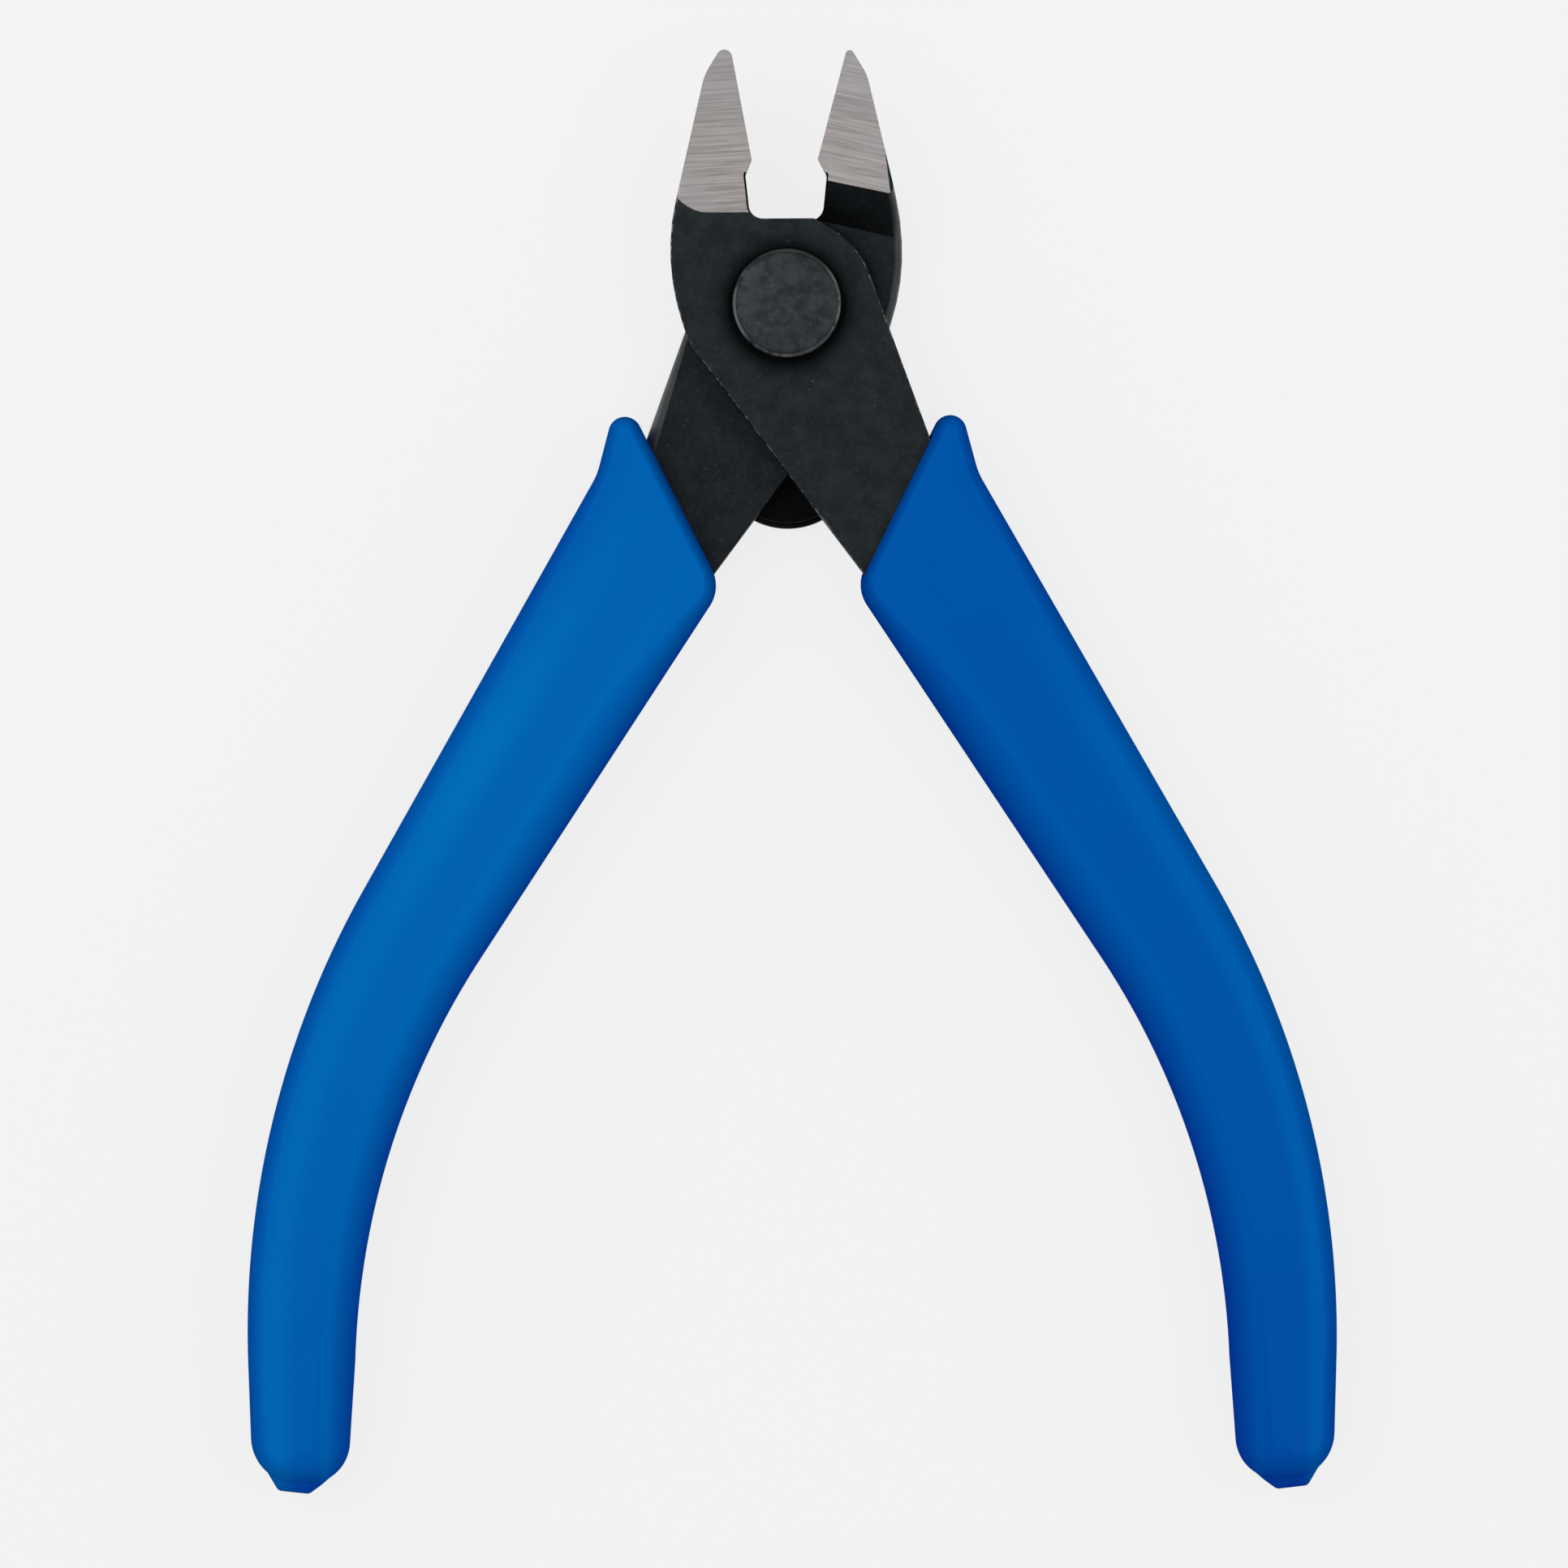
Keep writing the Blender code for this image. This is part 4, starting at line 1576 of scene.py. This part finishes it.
@dataclass
class ReturnSpring:
    """The torsion spring behind the crotch, swept along its wire by Geometry Nodes."""

    wire_radius: float = 0.00037
    self_gap: float = 0.00043
    coil_radius: float = 0.0061
    coil_turns: float = 1.5
    coil_drop: float = 0.0129
    clearance: float = 0.00015
    leg_angle: float = 14.0
    leg_length: float = 0.0076
    hook_bend: float = 0.0010
    hook_depth: float = 0.0013
    points_per_turn: int = 96
    hook_steps: int = 10
    wire_sides: int = 14
    piece: bpy.types.Object | None = field(default=None, init=False)

    def leg_end(self, side: Side) -> Point2:
        """Return where the end of a leg hooks into its tang.

        Args:
            side: which leg it is.

        Returns:
            The point.
        """
        lean = math.radians(self.leg_angle)
        x = self.coil_radius * math.cos(lean) + self.leg_length * math.sin(lean)
        y = self.coil_radius * math.sin(lean) - self.leg_length * math.cos(lean) - self.coil_drop
        return (side.value * x, y)

    def hook(self, side: Side, level: float, top: float) -> list[Point3]:
        """Return the bend and end of a hook.

        Args:
            side: which leg it ends.
            level: the leg's level.
            top: the level that the hook reaches.

        Returns:
            Points from the leg to the hook's end.
        """
        lean = math.radians(self.leg_angle)
        x, y = self.leg_end(side)
        points = []
        for step in range(self.hook_steps + 1):
            turn = math.pi / 2 * step / self.hook_steps
            back = self.hook_bend * (1.0 - math.sin(turn))
            rise = self.hook_bend * (1.0 - math.cos(turn))
            points.append((x - side.value * back * math.sin(lean), y + back * math.cos(lean), level + rise))
        points.append((x, y, top))
        return points

    def path(self) -> list[Point3]:
        """Return the wire's middle line.

        Returns:
            Points along the left hook and leg, the coil, and the right leg and hook.
        """
        lean = math.radians(self.leg_angle)
        sweep = 2 * math.pi * self.coil_turns - 2 * lean
        steps = round(self.points_per_turn * sweep / (2 * math.pi))
        high = REAR_BACK - self.clearance - self.wire_radius
        low = high - (2 * self.wire_radius + self.self_gap) * sweep / (2 * math.pi)
        points = list(reversed(self.hook(Side.LEFT, low, REAR_BACK + self.hook_depth)))
        for step in range(steps + 1):
            turn = math.pi - lean - sweep * step / steps
            level = low + (high - low) * step / steps
            x = self.coil_radius * math.cos(turn)
            y = self.coil_radius * math.sin(turn) - self.coil_drop
            points.append((x, y, level))
        return points + self.hook(Side.RIGHT, high, FRONT_BACK + self.hook_depth)

    def sweep_tree(self, material: bpy.types.Material) -> tuple[bpy.types.NodeTree, dict[str, str]]:
        """Return the tree that sweeps a round wire along a path of edges.

        Args:
            material: the wire's material.

        Returns:
            The tree, and the identifier of each named input.
        """
        tree = bpy.data.node_groups.new("wire_sweep", "GeometryNodeTree")
        board = Board(tree)
        path = tree.interface.new_socket("Path", in_out="INPUT", socket_type="NodeSocketGeometry")
        radius = tree.interface.new_socket("Wire Radius", in_out="INPUT", socket_type="NodeSocketFloat")
        sides = tree.interface.new_socket("Sides", in_out="INPUT", socket_type="NodeSocketInt")
        tree.interface.new_socket("Wire", in_out="OUTPUT", socket_type="NodeSocketGeometry")
        entry = {
            socket.name: board.node("NodeGroupInput", output=socket.name)
            for socket in (path, radius, sides)
        }
        curve = board.node("GeometryNodeMeshToCurve", {}, {"Mesh": entry["Path"]})
        ring_inputs = {"Resolution": entry["Sides"], "Radius": entry["Wire Radius"]}
        ring = board.node("GeometryNodeCurvePrimitiveCircle", {}, ring_inputs)
        tube_inputs = {"Curve": curve, "Profile Curve": ring, "Fill Caps": True}
        tube = board.node("GeometryNodeCurveToMesh", {}, tube_inputs)
        soft = board.node("GeometryNodeSetShadeSmooth", {}, {"Geometry": tube})
        plain = board.node("GeometryNodeRealizeInstances", {}, {"Geometry": soft})
        painted = board.node("GeometryNodeSetMaterial", {}, {"Geometry": plain, "Material": material})
        board.node("NodeGroupOutput", {}, {"Wire": painted})
        return tree, {"Wire Radius": radius.identifier, "Sides": sides.identifier}

    def build(self) -> None:
        """Sweep the wire and make it a plain mesh."""
        mesh = bpy.data.meshes.new("return_spring_wire")
        points = [(x, y + PIVOT_Y, z) for x, y, z in self.path()]
        mesh.from_pydata(points, [(index, index + 1) for index in range(len(points) - 1)], [])
        self.piece = link("return_spring_wire", mesh)
        tree, names = self.sweep_tree(SpringWire().material())
        modifier = self.piece.modifiers.new("sweep", "NODES")
        modifier.node_group = tree
        modifier[names["Wire Radius"]] = self.wire_radius
        modifier[names["Sides"]] = self.wire_sides
        bake_modifiers(self.piece)
        with editing(self.piece.data) as shape:
            bmesh.ops.remove_doubles(shape, verts=shape.verts, dist=MERGE)
            bmesh.ops.recalc_face_normals(shape, faces=shape.faces)

    def dress(self) -> None:
        """Bend the wire between the two levers, which squeezes the coil as they close."""
        left = self.leg_end(Side.LEFT)
        right = self.leg_end(Side.RIGHT)
        start = (left[0] + self.hook_bend, left[1] + PIVOT_Y, REAR_BACK)
        end = (right[0] - self.hook_bend, right[1] + PIVOT_Y, REAR_BACK)
        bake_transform(self.piece, Lever.REAR.value, Lever.FRONT.value, start=start, end=end)
        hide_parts("return_spring")


@dataclass
class Sleeve:
    """A vinyl sleeve grip: flat faces, round edges, a slanted mouth with an ear and a drip at its end."""

    node: str
    lever: Lever
    side: Side
    tang_low: float
    finish: SleevePlastic
    line: HandleLine
    thickness: float = 0.010
    tail: float = 0.010666
    half_mouth: float = SLEEVE_HALF_MOUTH
    half_end: float = SLEEVE_HALF_END
    end_draw: float = 0.0004
    end_outer_radius: float = 0.0042
    end_inner_radius: float = 0.0036
    edge_round: float = 0.0033
    outer_round: float = 0.0015
    mouth_round: float = 0.0011
    round_growth: float = 0.016
    fullness: float = 2.3
    mouth_station: float = 0.0240
    mouth_radius: float = 0.0032
    ear_station: float = 0.0136
    ear_reach: float = 0.0095
    ear_radius: float = 0.00145
    ear_foot_station: float = 0.0212
    ear_foot_radius: float = 0.006
    fit: float = 0.00015
    plate: float = 0.0027
    tang_setback: float = 0.0082
    tang_half: float = 0.0032
    tang_inner: Point2 = (216.87, 0.00885)
    tang_outer: Point2 = (20.0, 0.0076)
    drip_height: float = 0.0032
    drip_middle: Point2 = (0.1095, 0.0008)
    drip_plan: tuple[Point3, ...] = (
        (0.1104, 0.0041, 0.0),
        (0.1138, 0.0021, 0.0006),
        (0.1141, -0.0006, 0.0006),
        (0.1133, -0.0017, 0.0015),
        (0.1120, -0.0032, 0.0012),
        (0.1110, -0.0037, 0.0),
        (0.1092, -0.0038, 0.0),
        (0.1080, -0.0020, 0.0),
        (0.1080, 0.0030, 0.0),
    )
    bend_steps: int = 48
    round_steps: int = 14
    straight_steps: int = 10
    corner_steps: int = 2
    arc_step: float = math.radians(4.0)
    shade_sharp: float = 38.0
    flat_up: float = 0.9999
    piece: bpy.types.Object | None = field(default=None, init=False)

    @property
    def length(self) -> float:
        """Distance along the handle line to the sleeve's end."""
        return self.line.bend_start + self.line.bend_length + self.tail

    def half_width(self, station: float) -> float:
        """Return half the sleeve's width at a station."""
        share = (station - self.mouth_station) / (self.length - self.mouth_station)
        return self.half_mouth + share * (self.half_end - self.half_mouth)

    def edge_stations(self, first: float) -> list[float]:
        """Return stations along a long edge.

        Args:
            first: station of the edge's first corner.

        Returns:
            Stations from past that corner to the end of the bend.
        """
        gap = (self.line.bend_start - first) / self.straight_steps
        straight = [first + gap * step for step in range(self.corner_steps, self.straight_steps)]
        return straight + self.line.bend_stations(self.bend_steps)

    def outline(self) -> list[Point2]:
        """Return the outline of a right sleeve.

        Returns:
            Points along its mouth, inner edge, end, outer edge and ear.
        """
        point = self.line.point
        mouth = self.mouth_station
        foot = self.ear_foot_station
        corners = [(*point(mouth, -self.half_width(mouth)), self.mouth_radius)]
        corners += [(*point(s, -self.half_width(s)), 0.0) for s in self.edge_stations(mouth)]
        corners.append((*point(self.length, self.end_draw - self.half_end), self.end_inner_radius))
        corners.append((*point(self.length, self.half_end), self.end_outer_radius))
        outer = [(*point(s, self.half_width(s)), 0.0) for s in self.edge_stations(foot)]
        corners += list(reversed(outer))
        corners.append((*point(foot, self.half_width(foot)), self.ear_foot_radius))
        corners.append((*point(self.ear_station, self.ear_reach), self.ear_radius))
        return rounded(corners, self.arc_step)

    def round_at(self, point: Point2, facing: float) -> float:
        """Return how far the edges round in at a point of the outline.

        Args:
            point: the point.
            facing: how far the outline faces outwards there, -1 to 1.

        Returns:
            The depth of the rounding.
        """
        station = point[0] * math.sin(self.line.heading) - point[1] * math.cos(self.line.heading)
        share = min(max((station - self.mouth_station) / self.round_growth, 0.0), 1.0)
        eased = share * share * (3.0 - 2.0 * share)
        outward = min(max(facing, 0.0), 1.0)
        full = self.edge_round + outward * (self.outer_round - self.edge_round)
        return self.mouth_round + eased * (full - self.mouth_round)

    def bulge(self, step: int) -> Point2:
        """Return how a round edge bulges at a step up or down from the middle of the thickness.

        Args:
            step: steps above the middle, less than 0 below it.

        Returns:
            Shares of the full bulge outwards and of the full rise.
        """
        turn = math.pi / 2 * abs(step) / self.round_steps
        power = 2 / self.fullness
        return (max(0.0, math.cos(turn)) ** power, math.copysign(math.sin(turn) ** power, step))

    def sections(self) -> list[list[Point3]]:
        """Return the rings of the sleeve.

        Returns:
            Rings of points from its underside to its top.
        """
        outline = self.outline()
        count = len(outline)
        half = self.thickness / 2
        rings = []
        for step in range(-self.round_steps, self.round_steps + 1):
            out, rise = self.bulge(step)
            ring = []
            for index, point in enumerate(outline):
                before, after = outline[index - 1], outline[(index + 1) % count]
                along = Vector((after[0] - before[0], after[1] - before[1])).normalized()
                inset = self.round_at(point, along.y) * (1.0 - out)
                level = half + half * rise
                ring.append((point[0] - inset * along.y, point[1] + inset * along.x, level))
            rings.append(mirrored(ring, self.side))
        return rings

    def pocket(self) -> bpy.types.Object:
        """Return the cutter of the pocket that the tang fills.

        Returns:
            The cutter.
        """
        half = self.tang_half + self.fit
        end = self.length - self.tang_setback + self.fit
        inner_edge = (self.tang_inner[0], self.tang_inner[1] + self.fit)
        outer_edge = (self.tang_outer[0], self.tang_outer[1] + self.fit)
        root = meet(inner_edge, (self.tang_inner[0] + 90.0, 0.0))
        inner = meet(inner_edge, (self.line.angle + 180.0, half - self.line.offset))
        outer = meet(outer_edge, (self.line.angle, half + self.line.offset))
        crown = meet(outer_edge, (self.tang_outer[0] + 90.0, 0.0))
        bend = self.line.bend_stations(self.bend_steps)
        outline = [root, inner]
        outline += [self.line.point(s, -half) for s in bend]
        outline += [self.line.point(end, -half), self.line.point(end, half)]
        outline += [self.line.point(s, half) for s in reversed(bend)]
        outline += [outer, crown]
        low = self.tang_low - self.fit
        high = self.tang_low + self.plate + self.fit
        rings = [mirrored([(x, y, z) for x, y in outline], self.side) for z in (low, high)]
        return loft(self.node + "_pocket", rings)

    def drip(self) -> bpy.types.Object:
        """Return the lump that dipping left on the end.

        Returns:
            The lump.
        """
        corners = [(*self.line.point(station, offset), radius) for station, offset, radius in self.drip_plan]
        middle_x, middle_y = self.line.point(*self.drip_middle)
        rings = []
        for step in range(1 - self.round_steps, self.round_steps):
            out, rise = self.bulge(step)
            ring = []
            for x, y in rounded(corners, self.arc_step):
                level = self.thickness / 2 + self.drip_height * rise
                ring.append((middle_x + out * (x - middle_x), middle_y + out * (y - middle_y), level))
            rings.append(mirrored(ring, self.side))
        return loft(self.node + "_drip", rings)

    def build(self) -> None:
        """Loft the sleeve, join its drip and cut its pocket."""
        self.piece = loft(self.node + "_sleeve", self.sections())
        combine(self.piece, self.drip(), "UNION")
        combine(self.piece, self.pocket(), "DIFFERENCE")
        smooth(self.piece, self.shade_sharp)
        flatten(self.piece, lambda face: abs(face.normal.z) > self.flat_up)

    def dress(self) -> None:
        """Give the sleeve its finish and its place in the frame."""
        self.piece.data.materials.append(self.finish.material())
        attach(self.piece, self.lever.value)
        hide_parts(self.node)


@dataclass(frozen=True)
class Softbox:
    """A square soft lamp aimed at the nippers: its place, side length and power in watts."""

    name: str
    place: Point3
    size: float
    power: float

    def build(self) -> None:
        """Hang the lamp, unseen by the camera."""
        data = bpy.data.lights.new(self.name, "AREA")
        data.shape = "SQUARE"
        data.size = self.size
        data.energy = self.power
        lamp = bpy.data.objects.new(self.name, data)
        lamp.location = self.place
        lamp.rotation_euler = (-Vector(self.place)).to_track_quat("-Z", "Y").to_euler()
        lamp.visible_camera = False
        bpy.context.scene.collection.objects.link(lamp)


@dataclass
class Studio:
    """The pale table, soft lamps and the camera straight above."""

    pixels: float = 1932.0
    pixels_per_metre: float = 14200.0
    pivot_pixel: Point2 = (969.5, 374.0)
    roll: float = -0.3
    lens: float = 200.0
    sensor: float = 36.0
    clip_end: float = 10.0
    focus_level: float = 0.008
    table_half: float = 1.5
    world_colour: Colour = (1.0, 1.0, 1.0)
    world_level: float = 0.5
    lamps: tuple[Softbox, ...] = (
        Softbox("overhead_softbox", (0.0, 0.0, 1.1), 1.8, 2.2),
        Softbox("key_softbox", (-0.34, 0.20, 0.60), 0.5, 1.5),
        Softbox("fill_softbox", (0.40, 0.05, 0.55), 0.4, 0.8),
    )

    def build(self) -> None:
        """Set up table, camera, lamps and world."""
        scene = bpy.context.scene
        scene.view_settings.view_transform = "Standard"
        self.make_table()
        self.make_camera()
        for lamp in self.lamps:
            lamp.build()
        world = bpy.data.worlds.new("studio")
        scene.world = world
        world.use_nodes = True
        background = world.node_tree.nodes["Background"]
        background.inputs["Color"].default_value = (*self.world_colour, 1.0)
        background.inputs["Strength"].default_value = self.world_level

    def make_table(self) -> None:
        """Lay the table at the level that the grips rest on."""
        mesh = bpy.data.meshes.new("table")
        half = self.table_half
        corners = [(-half, -half, 0.0), (half, -half, 0.0), (half, half, 0.0), (-half, half, 0.0)]
        mesh.from_pydata(corners, [], [(0, 1, 2, 3)])
        table = link("table", mesh)
        mesh.materials.append(PaleTable().material())

    def make_camera(self) -> None:
        """Hang the camera so that the rivet falls on its place in the picture."""
        data = bpy.data.cameras.new("camera")
        data.lens = self.lens
        data.sensor_width = self.sensor
        data.clip_end = self.clip_end
        width = self.pixels / self.pixels_per_metre
        height = width * self.lens / self.sensor + self.focus_level
        right = (self.pixels / 2 - self.pivot_pixel[0]) / self.pixels_per_metre
        up = (self.pivot_pixel[1] - self.pixels / 2) / self.pixels_per_metre
        roll = math.radians(self.roll)
        x = right * math.cos(roll) - up * math.sin(roll)
        y = right * math.sin(roll) + up * math.cos(roll)
        camera = bpy.data.objects.new("camera", data)
        camera.location = (x, y + PIVOT_Y, height)
        camera.rotation_euler = (0.0, 0.0, roll)
        bpy.context.scene.collection.objects.link(camera)
        bpy.context.scene.camera = camera


def main() -> None:
    """Load the frame, build and dress each piece, and set up the studio."""
    logging.basicConfig(level=logging.INFO, format="%(name)s: %(message)s")
    for thing in list(bpy.data.objects):
        bpy.data.objects.remove(thing, do_unlink=True)
    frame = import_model()
    front_oxide = BlackOxide()
    # The rear half's oxide is a darker copy of the front's, as painted shade for its lower level, with
    # painted shadow beside the front boss
    rear_oxide_shaded = BlackOxide(
        name="rear_black_oxide_painted_shade",
        dark=srgb(18, 22, 25),
        light=srgb(28, 33, 36),
        green=srgb(24, 28, 26),
        boss_painted_shadow=0.75,
    )
    halves = [
        Half("front_half", Lever.FRONT, front_oxide, FrontGround(oxide=front_oxide)),
        Half("rear_half", Lever.REAR, rear_oxide_shaded, RearGround(oxide=rear_oxide_shaded), tang_round=0.0017),
    ]
    for half in halves:
        half.build(frame)
    line = HandleLine()
    # Both grips are one vinyl: the left copy is painted lighter and the right darker as painted light, each
    # with its own painted shade and highlight bands
    right_vinyl = SleevePlastic(
        name="right_grip_vinyl",
        lies=Side.RIGHT,
        line=line,
        face=srgb(0, 82, 169),
        side=srgb(4, 62, 165),
        highlight_band=srgb(0, 92, 176),
        band_middle=0.62,
        band_reach=0.3,
        band_fall=0.0,
        edge_share=0.1,
    )
    left_vinyl = SleevePlastic(
        name="left_grip_vinyl",
        lies=Side.LEFT,
        line=line,
        face=srgb(0, 97, 179),
        side=srgb(4, 72, 172),
        highlight_band=srgb(0, 112, 188),
        band_middle=0.45,
        band_reach=0.45,
        band_fall=0.5,
        edge_share=0.6,
    )
    plain = [
        Rivet(),
        ReturnSpring(),
        Sleeve("right_grip", Lever.FRONT, Side.RIGHT, FRONT_BACK, right_vinyl, line),
        Sleeve("left_grip", Lever.REAR, Side.LEFT, REAR_BACK, left_vinyl, line),
    ]
    for part in plain:
        part.build()
    for part in [*halves, *plain]:
        part.dress()
        log.info("%s: %d faces", part.piece.name, len(part.piece.data.polygons))
    Studio().build()


if __name__ == "__main__":
    main()
